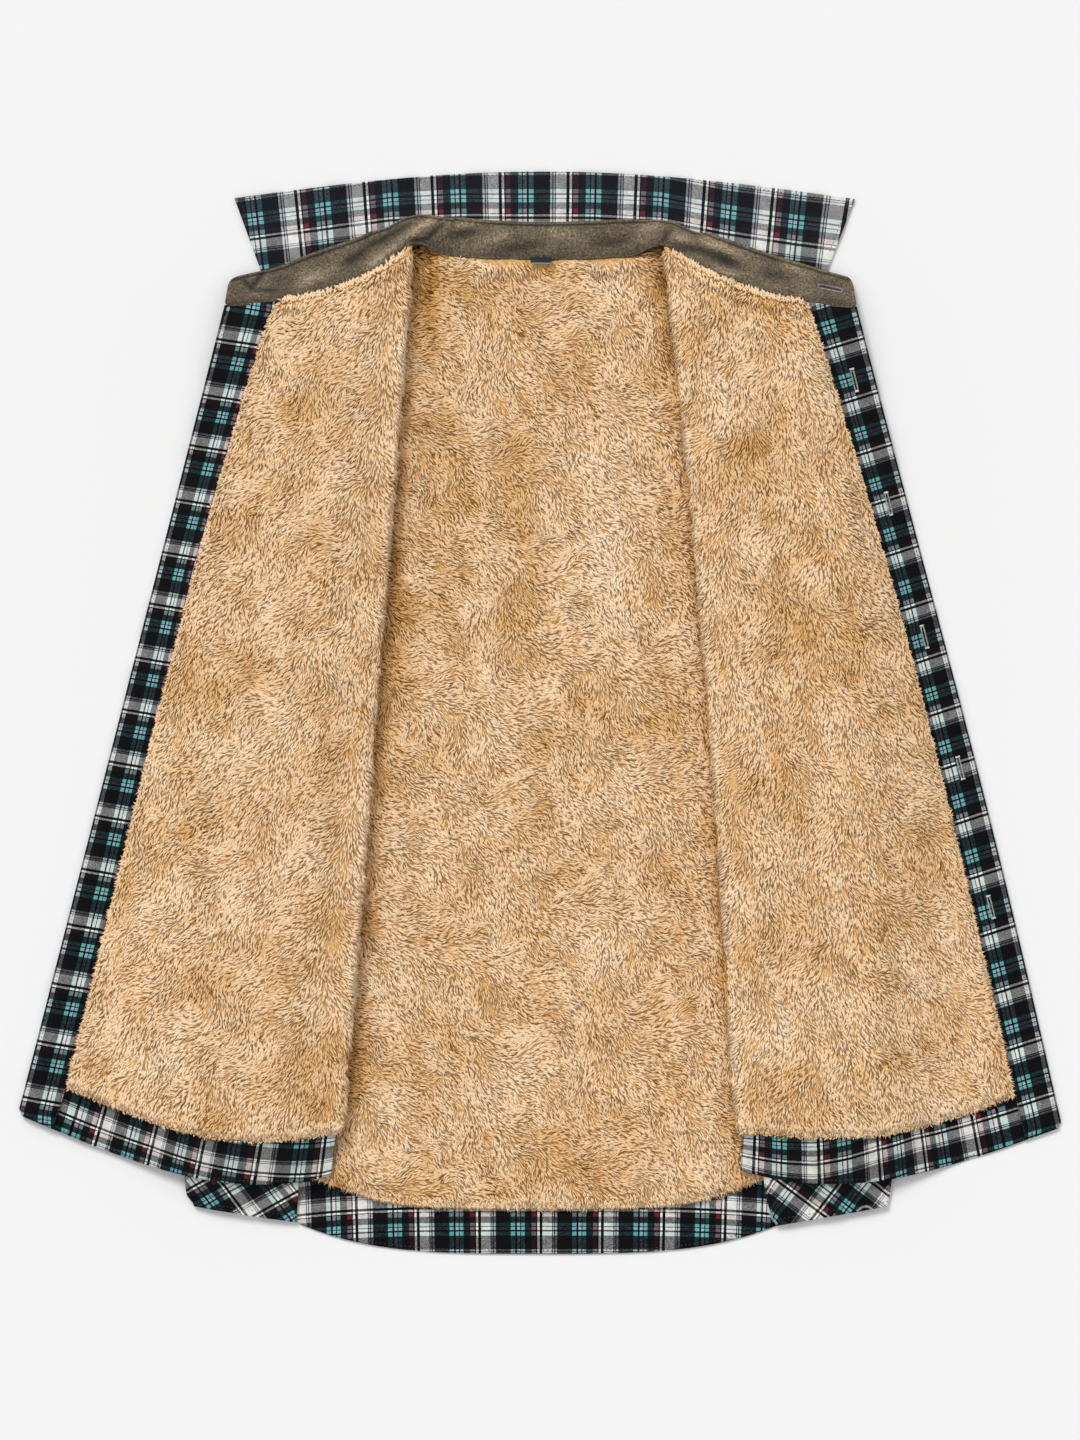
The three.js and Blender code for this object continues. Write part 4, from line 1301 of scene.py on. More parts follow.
class Colours(bpy.types.PropertyGroup):
    """Yarns and dyes, and the pile's painted shade, as the eye sees them."""

    navy: colour("Navy", "Dark ground of the plaid", (0.06, 0.062, 0.075))
    black: colour("Black", "Thin dark lines of the plaid", (0.03, 0.03, 0.035))
    teal: colour("Teal", "Teal stripes of the plaid", (0.355, 0.63, 0.62))
    dim: colour("Mauve grey", "Stripe between the teal ones", (0.6, 0.66, 0.72))
    red: colour("Red", "Dark red stripes of the plaid", (0.38, 0.15, 0.18))
    grey: colour("Grey line", "Thin dim lines of the plaid", (0.7, 0.71, 0.72))
    light: colour("Cream", "Broad light bands of the plaid", (0.87, 0.865, 0.845))
    white: colour("White", "Thin light lines of the plaid", (0.93, 0.925, 0.905))
    # The two darkest pile colours are painted shade, deep between the locks and at their roots.
    pile_deep: colour("Pile, deep", "Deep between the locks", (0.44, 0.27, 0.1))
    pile_shade: colour("Pile, shaded", "Roots of the locks", (0.84, 0.64, 0.39))
    pile: colour("Pile", "Most of the plush", (0.955, 0.825, 0.665))
    pile_tip: colour("Pile, tips", "Palest tips of the locks", (0.99, 0.92, 0.81))
    twill: colour("Olive twill", "The collar band's facing", (0.405, 0.36, 0.295))
    label: colour("Label", "The bare neck label", (0.13, 0.16, 0.18))
    label_edge: colour("Label edge", "The label's pale woven edge", (0.55, 0.58, 0.58))
    button: colour("Button", "Buttons", (0.16, 0.15, 0.14))
    thread: colour("Thread", "Top stitching on the plaid", (0.2, 0.21, 0.24))
    pale_thread: colour("Pale thread", "Buttonholes", (0.78, 0.78, 0.77))
    olive_thread: colour("Olive thread", "Top stitching on the band", (0.36, 0.33, 0.25))


class StageLook(bpy.types.PropertyGroup):
    """Camera and light."""

    height: FloatProperty(
        name="Camera height", description="Height of the camera above the table", default=6.0, unit="LENGTH"
    )
    across: FloatProperty(
        name="View", description="Width of the table that the camera sees", default=1.0656, unit="LENGTH"
    )
    middle: FloatProperty(
        name="Middle", description="Where the camera looks, along the garment", default=-0.0054, unit="LENGTH"
    )
    sky: FloatProperty(name="Sky", description="Strength of the light from all round", default=0.635)
    sun: FloatProperty(name="Key light", description="Strength of the soft key light", default=1.75)


class Overshirt(bpy.types.PropertyGroup):
    """Everything that shapes the overshirt's looks."""

    plush: PointerProperty(type=PlushSizes)
    sizes: PointerProperty(type=ClothSizes)
    colours: PointerProperty(type=Colours)
    stage: PointerProperty(type=StageLook)


# ---------------------------------------------------------------- grids over the pieces

def steps(*runs):
    """Places from the first run's start to the last one's end; each run is (end, count)."""
    (start, _), *rest = runs
    places = [start]
    for end, count in rest:
        places += list(np.linspace(start, end, count + 1)[1:])
        start = end
    return places


def shell_columns(upper=26, band=8):
    """Columns of a turned front, from the front edge or the pile's edge over the fold to its seam."""
    start = 2 if band else 1
    return steps((start, 0), *([(1, band)] if band else []), (0, upper), (-1, 10), (-2, 8))


HEM_ROW = 1.92  # where a hem is stitched
SHELL_ROWS = steps((0, 0), (1, 22), (2, 14))
LINED_ROWS = steps((0, 0), (NECK_RIM, 2), (BEND, 58), (1, 3))


def cut_corner(spots, c, v, side):
    """Rounds the corner where the front edge meets the hem."""
    in_by = 2.4 * ease((c - 1.88) / 0.12) * ease((v - 1.9) / 0.1)
    spots[:, 0] -= side * in_by
    spots[:, 1] += in_by


def hem_ripple(x, y, v, side):
    """Small waves of a hem, which die away above it."""
    return 0.5 * ease(v - 1) * waves(x, y, 55, 40 + side)


def foot_lift(x, v):
    """How much higher the back's plush ends beside the folds than in the middle."""
    return 4.5 * ease((np.abs(x) - 105) / 50) * ease((v - 0.9) / 0.1)


class OVERSHIRT_OT_back(bpy.types.Operator):
    """Lays the back's flannel and the backing of its plush on the table."""

    bl_idname = "overshirt.back"
    bl_label = "Back"

    def execute(self, context):
        def shell(s, v):
            x, y = back_plan(s, v)
            z = np.full_like(x, CLOTH) + 0.25 * ease(v - 1) * (1 + waves(x, y, 60, 3))
            return np.stack([x, y, z], -1)

        def backing(s, v):
            x, y = back_plan(s, v)
            z = back_pile_height(v, BACKING_DROP) + 0.45 * waves(x, y, 24, 8)
            return np.stack([x, y + foot_lift(x, v), np.minimum(z, BACK_TOP)], -1)

        thick = context.scene.overshirt.sizes.flannel
        rows = steps((0, 0), (1, 26), (2, 14))
        back = cloth("back_flannel", steps((-1, 0), (1, 56)), rows, shell, thick, "plaid", back_weave)
        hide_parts("back")
        row = shell(np.linspace(-0.62, 0.62, 200), np.full(200, HEM_ROW))
        top_stitched("back_hem_stitches", [row])

        rows = steps((0, 0), (NECK_RIM, 2), (BEND, 70), (1, 2))
        lining = cloth("back_plush", steps((-1, 0), (1, 60)), rows, backing, BACKING, "backing")
        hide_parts("back_lining")
        return {"FINISHED"}


class OVERSHIRT_OT_fronts(bpy.types.Operator):
    """Turns both fronts outwards: flannel over the fold, facing along the front edge and plush backing."""

    bl_idname = "overshirt.fronts"
    bl_label = "Fronts"

    def execute(self, context):
        shirt = context.scene.overshirt
        for front in FRONTS:
            outer = turned(front, SHELL_OUT)
            facing_top = turned(front, PILE_IN + CLOTH)
            backing_top = turned(front, PILE_OUT - BACKING_DROP, pile_share)

            def shell(c, v):
                spots = outer(c, v)
                spots[:, 2] += hem_ripple(*spots[:, :2].T, v, front.side) * (c >= 0)
                cut_corner(spots, c, v, front.side)
                return spots

            def facing_cloth(c, v):
                spots = facing_top(c, v)
                spots[:, 2] += 0.3 * waves(*spots[:, :2].T, 48, 60 + front.side) + 0.1
                cut_corner(spots, c, v, front.side)
                return spots

            def backing(c, v):
                spots = backing_top(c, v)
                open_part = (c > 0) * (v < BEND) * (c < 0.95)
                spots[:, 2] += 0.4 * waves(*spots[:, :2].T, 24, 8) * open_part
                return spots

            name, thick = front.name, shirt.sizes.flannel
            over = cloth(
                f"front_{name}_flannel", shell_columns(64), SHELL_ROWS, shell, thick, "plaid",
                hem_weave(front),
            )
            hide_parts(f"front_{name}")
            facing = cloth(
                f"front_{name}_facing", steps((2, 0), (1 + GAP / 28, 10)), steps((0, 0), (1, 90), (2, 8)),
                facing_cloth, thick, "plaid", facing_weave(front),
            )
            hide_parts(f"front_facing_{name}")
            columns = shell_columns(band=0)
            lining = cloth(f"front_{name}_plush", columns, LINED_ROWS, backing, BACKING, "backing")
            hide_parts(f"front_lining_{name}")

            edge = facing_cloth(np.full(300, 1.9), np.linspace(0.01, 1.93, 300))
            foot = np.vstack([
                facing_cloth(np.linspace(1.9, 1.02, 40), np.full(40, HEM_ROW)),
                shell(np.linspace(1, 0.02, 120), np.full(120, HEM_ROW)),
            ])
            seam = facing_cloth(np.full(40, 1.03), np.linspace(1.03, 1.9, 40))
            rows = top_stitched(f"front_{name}_stitches", [edge, foot, seam])
        return {"FINISHED"}


LABEL_ROOM = (0.002, 0.001, 0.002, 0.012)  # bare of locks on the label's right and left, below and above


def clear_of_label(strands):
    """Keeps the locks off the neck label."""
    low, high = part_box("neck_label")
    right, left, below, above = LABEL_ROOM
    x, y = strands.root[:, 0] * MM, strands.root[:, 1] * MM
    on = (x > low[0] - right) & (x < high[0] + left) & (y > low[1] - below) & (y < high[1] + above)
    return ~on


BASE_TONE = 0.64
EDGE_TUFTS, FOOT_TUFTS, NECK_TUFTS, BACK_TUFTS = 1100, 700, 420, 1000
ROOT_DEPTH = 0.3  # how far the locks' roots lie in the backing
ROLLED = 20.0  # how far a front's locks go on round its fold
TUCKED = 12.0  # how far the back's locks go on under the folds
LOOSE = 0.2  # how unevenly the locks are combed
FOOT_ROWS = (0.985, 0.9945)  # where the tufts of a foot are rooted


def front_locks(front, plush, draw):
    """One front's locks, and the column that each is rooted in."""
    radius = PILE_OUT - BACKING_DROP - ROOT_DEPTH
    place = turned(front, radius, pile_share)
    u, v = scattered(lambda v: float(front.pile_width(v)) + ROLLED, FRONT_LONG, plush.spacing, draw)
    reach = np.array(front.pile_width(v))
    a = u * (reach + ROLLED) - ROLLED  # from the fold outwards; below 0 it goes round the fold
    past = a - PILE_OUT
    c = np.clip(np.where(past >= 0, past / (reach - PILE_OUT), past / (ROLLED + PILE_OUT) * 0.9), -0.9, 0.992)
    a = np.where(c < 0, PILE_OUT - radius * np.cos(np.pi * (0.5 + c)), a)
    spots = place(c, v)
    x, y = spots[:, :2].T
    angle = front_angle(front, a, x, y, v) + draw.normal(0, LOOSE, len(a))
    locks = combed(place, c, v, angle, plush, draw, BASE_TONE + patch_and_painted_shadow_tone(x, y))
    outward = locks.way[:, 0] * front.side
    trimmed(locks, a, np.where(c > -0.4, -outward, 0), 0.4, draw)
    trimmed(locks, reach - a, outward, 1.2, draw)
    trimmed(locks, (1 - v) * FRONT_LONG, -locks.way[:, 1], 0.9 + 1.4 * waves(x, y, 10, 91), draw)
    # Painted highlight along the crest of the fold, and painted shade on its wall beyond.
    painted_crest_highlight = np.exp(-(((a - 5) / 5) ** 2)) * (c > -0.35)
    locks.tone = locks.tone + 0.09 * painted_crest_highlight - 0.3 * (c < -0.35)

    # tufts along the facing, over the hem and over the band's sewn edge
    v_edge = np.sort(draw.uniform(0.004, 0.999, EDGE_TUFTS))
    c_edge = np.full(EDGE_TUFTS, 0.985)
    out_way = math.radians(200 if front.side < 0 else -20)
    edge = tufts(place, c_edge, v_edge, out_way, 0.6, plush, draw, BASE_TONE, 0.05, 0.48)
    c_foot = draw.uniform(0.0, 0.99, FOOT_TUFTS)
    v_foot = draw.uniform(*FOOT_ROWS, FOOT_TUFTS)
    foot = tufts(place, c_foot, v_foot, FRONT_DOWN, 0.42, plush, draw, BASE_TONE, 0.06, 0.5)
    c_neck = draw.uniform(0.0, 0.97, NECK_TUFTS)
    v_neck = draw.uniform(0.002, 0.008, NECK_TUFTS)
    neck = tufts(place, c_neck, v_neck, math.radians(92), 0.45, plush, draw, BASE_TONE + 0.08, 0.05, 0.5)
    neck.rise = neck.rise + 1.2
    return joined(locks, edge, foot, neck), np.concatenate([c, c_edge, c_foot, c_neck])


def back_locks(plush, draw):
    """The locks of the back, as far as they go on under both folds."""
    right, left = FRONTS

    def place(s, v):
        x, y = back_plan(s, v)
        return np.stack([x, y + foot_lift(x, v), back_pile_height(v, BACKING_DROP + ROOT_DEPTH)], -1)

    def sides(v):
        v = np.minimum(v * 0.985 + 0.015, 1)
        return float(right.fold(v)[0]) + TUCKED, float(left.fold(v)[0]) + TUCKED

    u, v = scattered(lambda t: sum(sides(t)), BACK_LONG, plush.spacing, draw)
    shares = np.linspace(0, 1, 60)
    lows, highs = [np.interp(v, shares, side) for side in np.array([sides(t) for t in shares]).T]
    s = (u * (lows + highs) - lows) / side_half(v)
    v = np.clip(v, 0, 0.995)
    spots = place(s, v)
    x, y = spots[:, :2].T
    angle = back_angle(x, y, v) + draw.normal(0, LOOSE, len(s))
    locks = combed(place, s, v, angle, plush, draw, BASE_TONE + patch_and_painted_shadow_tone(x, y))
    trimmed(locks, (1 - v) * BACK_LONG, -locks.way[:, 1], 0.9 + 1.4 * waves(x, y, 10, 92), draw)
    # Painted shadow on the back's locks beside both folds.
    for away, deep in ((x + right.fold(v)[0], 0.1), (left.fold(v)[0] - x, 0.12)):
        away = np.maximum(away, 0)
        locks.tone = locks.tone - deep * np.exp(-((away / 4.5) ** 2)) - 0.05 * np.exp(-((away / 11) ** 2))
    s_foot = draw.uniform(-0.68, 0.68, BACK_TUFTS)
    v_foot = draw.uniform(0.987, FOOT_ROWS[1], BACK_TUFTS)
    foot = tufts(place, s_foot, v_foot, BACK_DOWN, 0.42, plush, draw, BASE_TONE, 0.06, 0.5)
    both = joined(locks, foot)
    return chosen(both, clear_of_label(both))


class OVERSHIRT_OT_pile(bpy.types.Operator):
    """Roots the plush's locks in the backings of both fronts and of the back."""

    bl_idname = "overshirt.pile"
    bl_label = "Pile"

    def execute(self, context):
        plush = context.scene.overshirt.plush
        draw = np.random.default_rng(plush.seed)
        for front in FRONTS:
            locks, column_of = front_locks(front, plush, draw)
            outer = column_of >= np.median(column_of)
            pieces = [
                spindles(f"front_{front.name}_pile_{part}", chosen(locks, keep), LOCK, PILE_CELLS, "locks")
                for part, keep in (("inner", ~outer), ("outer", outer))
            ]
        locks = back_locks(plush, draw)
        strip = np.searchsorted(np.quantile(locks.root[:, 0], (1 / 3, 2 / 3)), locks.root[:, 0])
        pieces = [
            spindles(f"back_pile_{part}", chosen(locks, strip == k), LOCK, PILE_CELLS, "locks")
            for k, part in enumerate(("right", "middle", "left"))
        ]
        return {"FINISHED"}


# Creases of the band: both ends, and how wide and how high, below 0 for a trough.
BAND_CREASES = [
    ((-213.1, 313.5), (-204.2, 325.4), 2.1, -1.5), ((-219, 320.2), (-213.1, 313.5), 1.9, -1.2),
    ((-213.1, 312.1), (-195.4, 310.9), 2, -1.2), ((-72.5, 361.1), (-84.4, 349.2), 2.2, -1.7),
    ((-84.4, 349.2), (-94.7, 348.8), 2.2, -1.4), ((-78.4, 366.1), (-96.2, 352.8), 3.0, 1.6),
    ((-127.3, 327.6), (-100.6, 349.8), 3.4, 1.3), ((-130.2, 342.4), (-96.2, 360.9), 3.0, -1.4),
    ((-143.6, 332), (-127.3, 340.9), 3.4, -1.2), ((-177.6, 315.8), (-149.5, 329.1), 4.5, 0.9),
    ((-62.9, 360.2), (-44.4, 360.2), 4.0, 1.2), ((-65.1, 352), (-42.9, 358.7), 3.4, -1.1),
    ((-45.9, 345.4), (-23.7, 354.2), 3.6, 1.0), ((-29.6, 341.7), (3.7, 346.8), 4.0, -1.0),
    ((3.7, 357.2), (33.3, 349.8), 4.5, 0.9), ((37, 345.4), (68.1, 349.8), 4.0, -0.9),
    ((74, 357.9), (89.5, 360.2), 3.4, 1.1), ((89.5, 347.6), (96.2, 357.2), 1.6, -1.4),
    ((97.7, 352), (111, 349.8), 3.4, 1.4), ((101.4, 343.9), (123.6, 340.2), 3.4, -1.5),
    ((123.6, 340.2), (149.5, 328.3), 4.4, -1.5), ((119.1, 349.8), (149.5, 338), 4.4, 1.3),
    ((123.6, 329.8), (145, 322.4), 3.4, 0.9), ((164.3, 323.9), (180.6, 321.7), 4.4, -0.9),
    ((177.6, 332), (201.3, 325.4), 4.4, 0.8), ((205.7, 317.2), (223.5, 314.3), 3.0, -0.6),
]
DEEPEST_CREASE = -1.4
BAND_BUTTONHOLE = ((214.2, 313.5), math.radians(-11))  # its middle and its turn


def band_shade(n, spots):
    """How much painted shade and highlight the band's twill has along its creases, the roll of its top edge
    and its seam; darker past 90 mm towards -X, with a little random tone.
    """
    # Painted shade in the creases' troughs and painted highlight on their ridges.
    shade = 0.98 + 0.34 * creases(*spots[:, :2].T, BAND_CREASES)
    shade = shade - 0.06 * ease((-spots[:, 0] - 90) / 60)
    # A painted highlight on the roll of the top edge, and a painted shadow line under it.
    painted_roll_light = 0.15 * np.exp(-(((n - 0.975) / 0.022) ** 2)) - 0.5 * np.exp(-(((n - 0.91) / 0.03) ** 2))
    # Painted shade towards the seam, and random tone.
    return shade + painted_roll_light - 0.16 * np.exp(-((n / 0.16) ** 2)) + 0.06 * waves(*spots[:, :2].T, 24, 83)


def rounded_ends(s, n):
    """Places along the band, drawn in towards the corners of both ends."""
    past = np.maximum((n - 0.7) / 0.3, (0.08 - n) / 0.18)
    corner = 1 - np.sqrt(1 - np.clip(past, 0, 1) ** 2)
    return s + 0.011 * corner * (ease(1 - s / 0.03) - ease((s - 0.97) / 0.03))


class OVERSHIRT_OT_collar(bpy.types.Operator):
    """Lays the collar and its band round the neck."""

    bl_idname = "overshirt.collar"
    bl_label = "Collar and band"

    def execute(self, context):
        sizes = context.scene.overshirt.sizes

        def top(t, n):
            x, y = collar_plan(t, n)
            z = TRIM + 0.35 * (1 + waves(x, y, 46, 70)) * ease(n * 3)
            return np.stack([x, y, z], -1)

        collar = cloth(
            "collar_flannel", steps((0, 0), (1, 150)), steps((0, 0), (1, 24)), top, sizes.trim,
            "lifted_plaid", collar_weave, soft_edge=0.5,
        )
        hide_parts("collar")
        ends = np.linspace(0.955, 0.3, 60)
        paths = [top(np.linspace(0.008, 0.992, 400), np.full(400, 0.955))]
        paths += [top(np.full(60, side), ends) for side in (0.008, 0.992)]
        top_stitched("collar_stitches", paths)

        def over(s, n):
            behind = ease((s - 0.35) / 0.04) * ease((0.64 - s) / 0.04)
            n = np.where(n < 0, n * (1 - 0.75 * behind), n)  # it reaches less far over the back's pile
            s = rounded_ends(s, n)
            x, y = band_plan(s, n)
            z = band_height(s, n) + TRIM
            soft = 0.3 * waves(x, y, 30, 80) + 0.2 * waves(x, y, 13, 81)
            return np.stack([x, y, z + np.maximum(soft + creases(x, y, BAND_CREASES), DEEPEST_CREASE)], -1)

        band = cloth(
            "collar_band_twill", steps((0, 0), (1, 260)), steps((-0.1, 0), (1, 24)), over, sizes.trim,
            "twill", lambda s, n, spots: spots[:, :2] * MM, soft_edge=0.6, shade=band_shade,
        )
        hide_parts("collar_band")
        run = np.linspace(0.006, 0.994, 500)
        ends = np.linspace(0.93, 0.08, 30)
        paths = [over(run, np.full(500, row)) for row in (0.945, 0.075)]
        paths += [over(np.full(30, side), ends) for side in (0.008, 0.992)]
        rows = stitched("band_stitches", paths, 2.6, 1.8, 0.5, "olive_thread")
        middle, turn = BAND_BUTTONHOLE
        on_band = ((0.9, 0.99), (0, 1))
        hole = raised(buttonhole_path(middle, turn, 9.2, 1.5), over, *on_band)
        bound = stitched("band_buttonhole", [hole], 1.05, 1.5, 0.6, "pale_thread", 0, across=True)
        # A dark row of spindles along the slit, painted as the shade inside it.
        slit_shade = raised(buttonhole_path(middle, turn, 8, 0.1), over, *on_band, 0.05)
        slit_shade = stitched("band_slit", [slit_shade[: len(slit_shade) // 2]], 1.4, 2.6, 0.9, "thread", -0.5)
        return {"FINISHED"}


def buttonhole_path(middle, turn, half_long, half_wide):
    """A long narrow loop on the plan."""
    t = np.linspace(0, 2 * math.pi, 120)
    bulge = np.abs(np.cos(t)) ** 0.35 * np.sign(np.cos(t))
    x, y = bulge * half_long, np.sin(t) * half_wide
    return np.stack([
        middle[0] + x * math.cos(turn) - y * math.sin(turn),
        middle[1] + x * math.sin(turn) + y * math.cos(turn),
    ], -1)


def raised(path, place, us, vs, lift=0.15):
    """A plan path brought up onto a piece, through its nearest places."""
    u, v = np.meshgrid(np.linspace(*us, 60), np.linspace(*vs, 240))
    spots = place(u.ravel(), v.ravel())
    away = np.hypot(spots[:, 0] - path[:, :1], spots[:, 1] - path[:, 1:])
    near = np.argsort(away, 1)[:, :4]
    z = np.mean(spots[near, 2], 1)
    return np.column_stack([path, z + lift])


BUTTONHOLE_HALF = 8.4
BUTTONHOLES = [(232, 245.5), (257.5, 154.4), (284.2, 56), (310.8, -40.9), (333.4, -143.8)]


class OVERSHIRT_OT_buttonholes(bpy.types.Operator):
    """Works the buttonholes of the left front's facing."""

    bl_idname = "overshirt.buttonholes"
    bl_label = "Buttonholes"

    def execute(self, context):
        place = turned(FRONTS[1], PILE_IN + CLOTH)
        turn = math.radians(-76)
        along = np.array([math.cos(turn), math.sin(turn)])
        across = np.array([-along[1], along[0]])
        loops, bars = [], []
        for middle in BUTTONHOLES:
            loop = buttonhole_path(middle, turn, BUTTONHOLE_HALF, 1.15)
            loops.append(raised(loop, place, (1, 2), (0, 1), 0.45))
            for end in (-BUTTONHOLE_HALF, BUTTONHOLE_HALF):
                bar = middle + end * along + np.linspace(-1.6, 1.6, 9)[:, None] * across
                bars.append(raised(bar, place, (1, 2), (0, 1), 0.7))
        stitched("buttonhole_loops", loops, 0.62, 1.6, 0.75, "pale_thread", tone=-0.1, across=True)
        stitched("buttonhole_bars", bars, 0.7, 2.0, 0.9, "pale_thread", tone=0.15, across=True)
        return {"FINISHED"}


# Where the left cuff's edge is frayed.
CUFF_FRAYS = [
    [(234.2, -368.7), (238.3, -365.4), (242.7, -365), (245.7, -367.3)],
    [(169.5, -368.7), (171.7, -373.9), (175.4, -378)],
]


FRAY_HEIGHT = 5.7
SLEEVE_WALL = 0.45
CUFF_MIDDLE = 2.15  # from a cuff's underside to the middle between its two sides


class OVERSHIRT_OT_sleeves(bpy.types.Operator):
    """Folds both sleeves inside the fronts and brings their cuffs out over the back's hem."""

    bl_idname = "overshirt.sleeves"
    bl_label = "Sleeves and cuffs"

    def execute(self, context):
        sizes = context.scene.overshirt.sizes
        low = FOLD_HEIGHT - SHELL_IN + GAP
        for front in FRONTS:
            side, name = front.side, front.name

            def sleeve(t, v):
                y = lerp(SLEEVE_TOP, SLEEVE_FOOT, v)
                across = 0.5 - 0.5 * np.cos(2 * np.pi * t)
                crown = (1 - np.abs(2 * across - 1) ** 4) * ease(0.3 + v * 12)
                thick = lerp(SLEEVE_THIN, SLEEVE_FULL, crown)
                x = lerp(sleeve_inner(y), sleeve_outer(y), across)
                z = np.where(t < 0.5, low + thick, low + 0.02)
                return np.stack([side * x, y, z], -1)

            tube = cloth(
                f"sleeve_{name}_flannel", steps((0, 0), (1, 36)), steps((0, 0), (1, 40)), sleeve, SLEEVE_WALL,
                "plaid", tube=True,
            )
            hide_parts(f"sleeve_{name}")

            cut = CUFFS[name]

            def cuff(t, v):
                across = 0.5 - 0.5 * np.cos(2 * np.pi * t)
                over = np.where(t < 0.5, 1, -1)
                flat = np.clip(6 * np.minimum(across, 1 - across), 0, 1) ** 0.5
                inner = lerp(cut["root"][0], cut["mouth"][0], v ** cut["slant"])
                x = lerp(inner, lerp(cut["root"][1], cut["mouth"][1], v), across)
                corner = cut["corner"] * ease((v - 0.84) / 0.16)
                x = x + across ** 3 * (4 * np.sin(np.pi * np.clip(v, 0, 1)) ** 2 - corner)
                y = lerp(SLEEVE_FOOT, lerp(*cut["mouth_up"], across), v)
                z = cuff_high(v) + CUFF_MIDDLE + over * CUFF_MIDDLE * flat
                crumple = 0.5 * waves(x, y, 26, 90 + side) + 0.3 * waves(x, y, 11, 92 + side)
                return np.stack([side * x, y, z + crumple * ease(v * 2) * (over > 0)], -1)

            cuff_piece = cloth(
                f"cuff_{name}_flannel", steps((0, 0), (1, 56)), steps((0, 0), (1, 26)), cuff, sizes.cuff,
                "plaid", cuff_weave(name), tube=True, soft_edge=0.4,
            )
            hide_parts(f"cuff_{name}")
            rim = cuff(np.linspace(0.03, 0.47, 120), np.full(120, 0.94))
            rows = top_stitched(f"cuff_{name}_stitches", [rim], 0.5)
        torn = [[(*spot, FRAY_HEIGHT) for spot in path] for path in CUFF_FRAYS]
        stitched("cuff_frays", torn, 0.8, 2.6, 0.5, "pale_thread", tone=0.1, across=True)
        return {"FINISHED"}


def seat(name):
    """The middle of a CAD node and its three axes, the shortest last."""
    points = np.array([v.co[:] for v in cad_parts[name].data.vertices])
    middle = (points.min(0) + points.max(0)) / 2
    return middle, np.linalg.svd(points - points.mean(0), full_matrices=False)[2]


BUTTON_RADIUS = 5.6 * MM
BUTTON_THICK = 2.2 * MM


def turned_button():
    """A button turned flat, with a rounded edge, a rim and a sunk middle."""
    bm = bmesh.new()
    bmesh.ops.create_cone(
        bm, cap_ends=True, segments=40, radius1=BUTTON_RADIUS, radius2=BUTTON_RADIUS, depth=BUTTON_THICK
    )
    rims = [e for e in bm.edges if abs(e.verts[0].co.z - e.verts[1].co.z) < 1e-6]
    bmesh.ops.bevel(bm, geom=rims, offset=0.0006, segments=3, profile=0.5, affect="EDGES", material=-1)
    face = max(bm.faces, key=lambda f: f.calc_center_median().z)
    bmesh.ops.inset_region(bm, faces=[face], thickness=0.0011)
    bmesh.ops.inset_region(bm, faces=[face], thickness=0.0004, depth=-0.0005)
    return bm


class OVERSHIRT_OT_buttons(bpy.types.Operator):
    """Turns the buttons and sews them under the right front and under the band."""

    bl_idname = "overshirt.buttons"
    bl_label = "Buttons"

    def execute(self, context):
        for name in [f"button_{k}" for k in range(1, 6)] + ["button_band"]:
            middle, (x, _, down) = seat(name)
            z = down * (-1 if down[2] > 0 else 1)
            y = np.cross(z, x)
            bm = turned_button()
            for vert in bm.verts:
                vert.co = middle + x * vert.co.x + y * vert.co.y + z * vert.co.z
            piece = finished(f"{name}_turned", mesh_of(f"{name}_turned", bm), "button")
            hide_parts(name)
            top = middle + z * (BUTTON_THICK / 2 - 0.0004)
            threads = [
                np.linspace(top + y * off - x * 0.0016, top + y * off + x * 0.0016, 12) / MM
                for off in (-0.0009, 0.0009)
            ]
            stitched(f"{name}_thread", threads, 3.2, 3.0, 0.7, "thread")
        return {"FINISHED"}


LABEL_WALL = 0.7 * MM


class OVERSHIRT_OT_label(bpy.types.Operator):
    """Sews the bare label to the neck seam."""

    bl_idname = "overshirt.label"
    bl_label = "Neck label"

    def execute(self, context):
        low, high = (np.array(corner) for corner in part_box("neck_label"))
        high = high + (0, 0.0016, 0.0015)  # the tape goes on over the band's edge, and lies on top
        bm = bmesh.new()
        bmesh.ops.create_grid(bm, x_segments=24, y_segments=10, size=0.5)
        for vert in bm.verts:
            u, v = vert.co.x + 0.5, vert.co.y + 0.5
            curl = 0.0004 * (math.sin(u * 5.2) + math.cos(v * 4))
            vert.co = (lerp(low[0], high[0], u), lerp(low[1], high[1], v), high[2] + curl)
        piece = finished("neck_label_tape", mesh_of("neck_label_tape", bm), "label")
        thicken(piece, LABEL_WALL)
        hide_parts("neck_label")
        return {"FINISHED"}


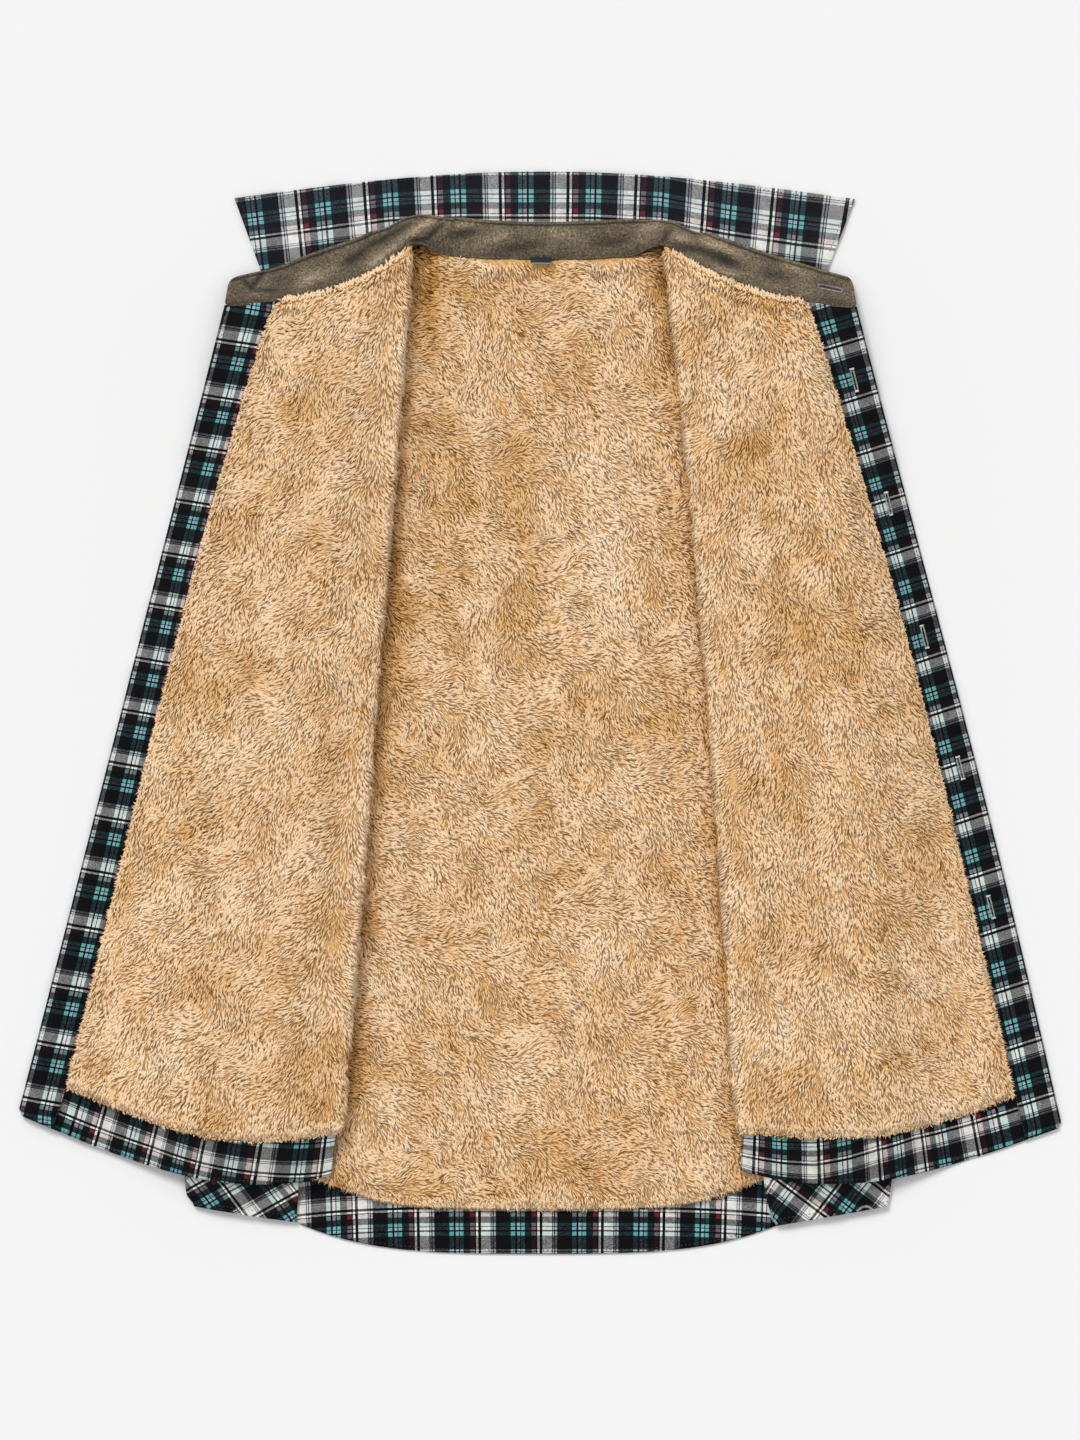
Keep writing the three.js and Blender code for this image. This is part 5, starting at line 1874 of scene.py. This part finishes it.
class OVERSHIRT_OT_stage(bpy.types.Operator):
    """Sets the table, the light and the camera straight above."""

    bl_idname = "overshirt.stage"
    bl_label = "Stage"

    def execute(self, context):
        scene, look = context.scene, context.scene.overshirt.stage

        def stand(name, data, **settings):
            made = bpy.data.objects.new(name, data)
            for key, value in settings.items():
                setattr(made, key, value)
            scene.collection.objects.link(made)
            return made

        bm = bmesh.new()
        bmesh.ops.create_grid(bm, x_segments=2, y_segments=2, size=20)
        mesh = mesh_of("table_top", bm)
        material("table", Roughness=0.9, Specular_IOR_Level=0.1, Base_Color=(0.88, 0.88, 0.88, 1))
        mesh.materials.append(bpy.data.materials[FINISHES["table"][0]])
        stand("table_top", mesh, location=(0, 0, -0.0002))

        world = bpy.data.worlds.new("Soft light")
        world.use_nodes = True
        sky = world.node_tree.nodes["Background"].inputs
        sky["Color"].default_value = (1, 1, 1, 1)
        sky["Strength"].default_value = look.sky
        scene.world = world

        sun = bpy.data.lights.new("Key", "SUN")
        sun.energy = look.sun
        sun.angle = math.radians(24)
        stand("Key", sun, rotation_euler=(math.radians(-38), math.radians(-22), 0))

        view = bpy.data.cameras.new("Straight down")
        view.sensor_width = 36
        view.lens = view.sensor_width * look.height / look.across
        view.clip_end = 50
        scene.camera = stand("Straight down", view, location=(0, look.middle, look.height))
        scene.view_settings.view_transform = "Standard"
        return {"FINISHED"}


OPERATORS = (
    OVERSHIRT_OT_stage, OVERSHIRT_OT_back, OVERSHIRT_OT_sleeves, OVERSHIRT_OT_fronts, OVERSHIRT_OT_pile,
    OVERSHIRT_OT_collar, OVERSHIRT_OT_buttonholes, OVERSHIRT_OT_buttons, OVERSHIRT_OT_label,
)


class OVERSHIRT_PT_panel(bpy.types.Panel):
    """Lists the steps that make the overshirt, and what they can be given."""

    bl_idname = "OVERSHIRT_PT_panel"
    bl_label = "Overshirt"
    bl_space_type = "VIEW_3D"
    bl_region_type = "UI"
    bl_category = "Overshirt"

    def draw(self, context):
        shirt = context.scene.overshirt
        for part in (shirt.plush, shirt.sizes, shirt.colours, shirt.stage):
            box = self.layout.box()
            for key in part.__annotations__:
                box.prop(part, key)
        for operator in OPERATORS:
            self.layout.operator(operator.bl_idname)


CLASSES = (PlushSizes, ClothSizes, Colours, StageLook, Overshirt, *OPERATORS, OVERSHIRT_PT_panel)


def register():
    """Adds the classes, and the overshirt's settings to each scene."""
    for made in CLASSES:
        bpy.utils.register_class(made)
    bpy.types.Scene.overshirt = PointerProperty(type=Overshirt)


def unregister():
    """Takes them away again."""
    del bpy.types.Scene.overshirt
    for made in reversed(CLASSES):
        bpy.utils.unregister_class(made)


def main():
    """Makes the overshirt."""
    register()
    for operator in OPERATORS:
        getattr(bpy.ops.overshirt, operator.bl_idname.split(".")[1])()


if __name__ == "__main__":
    main()
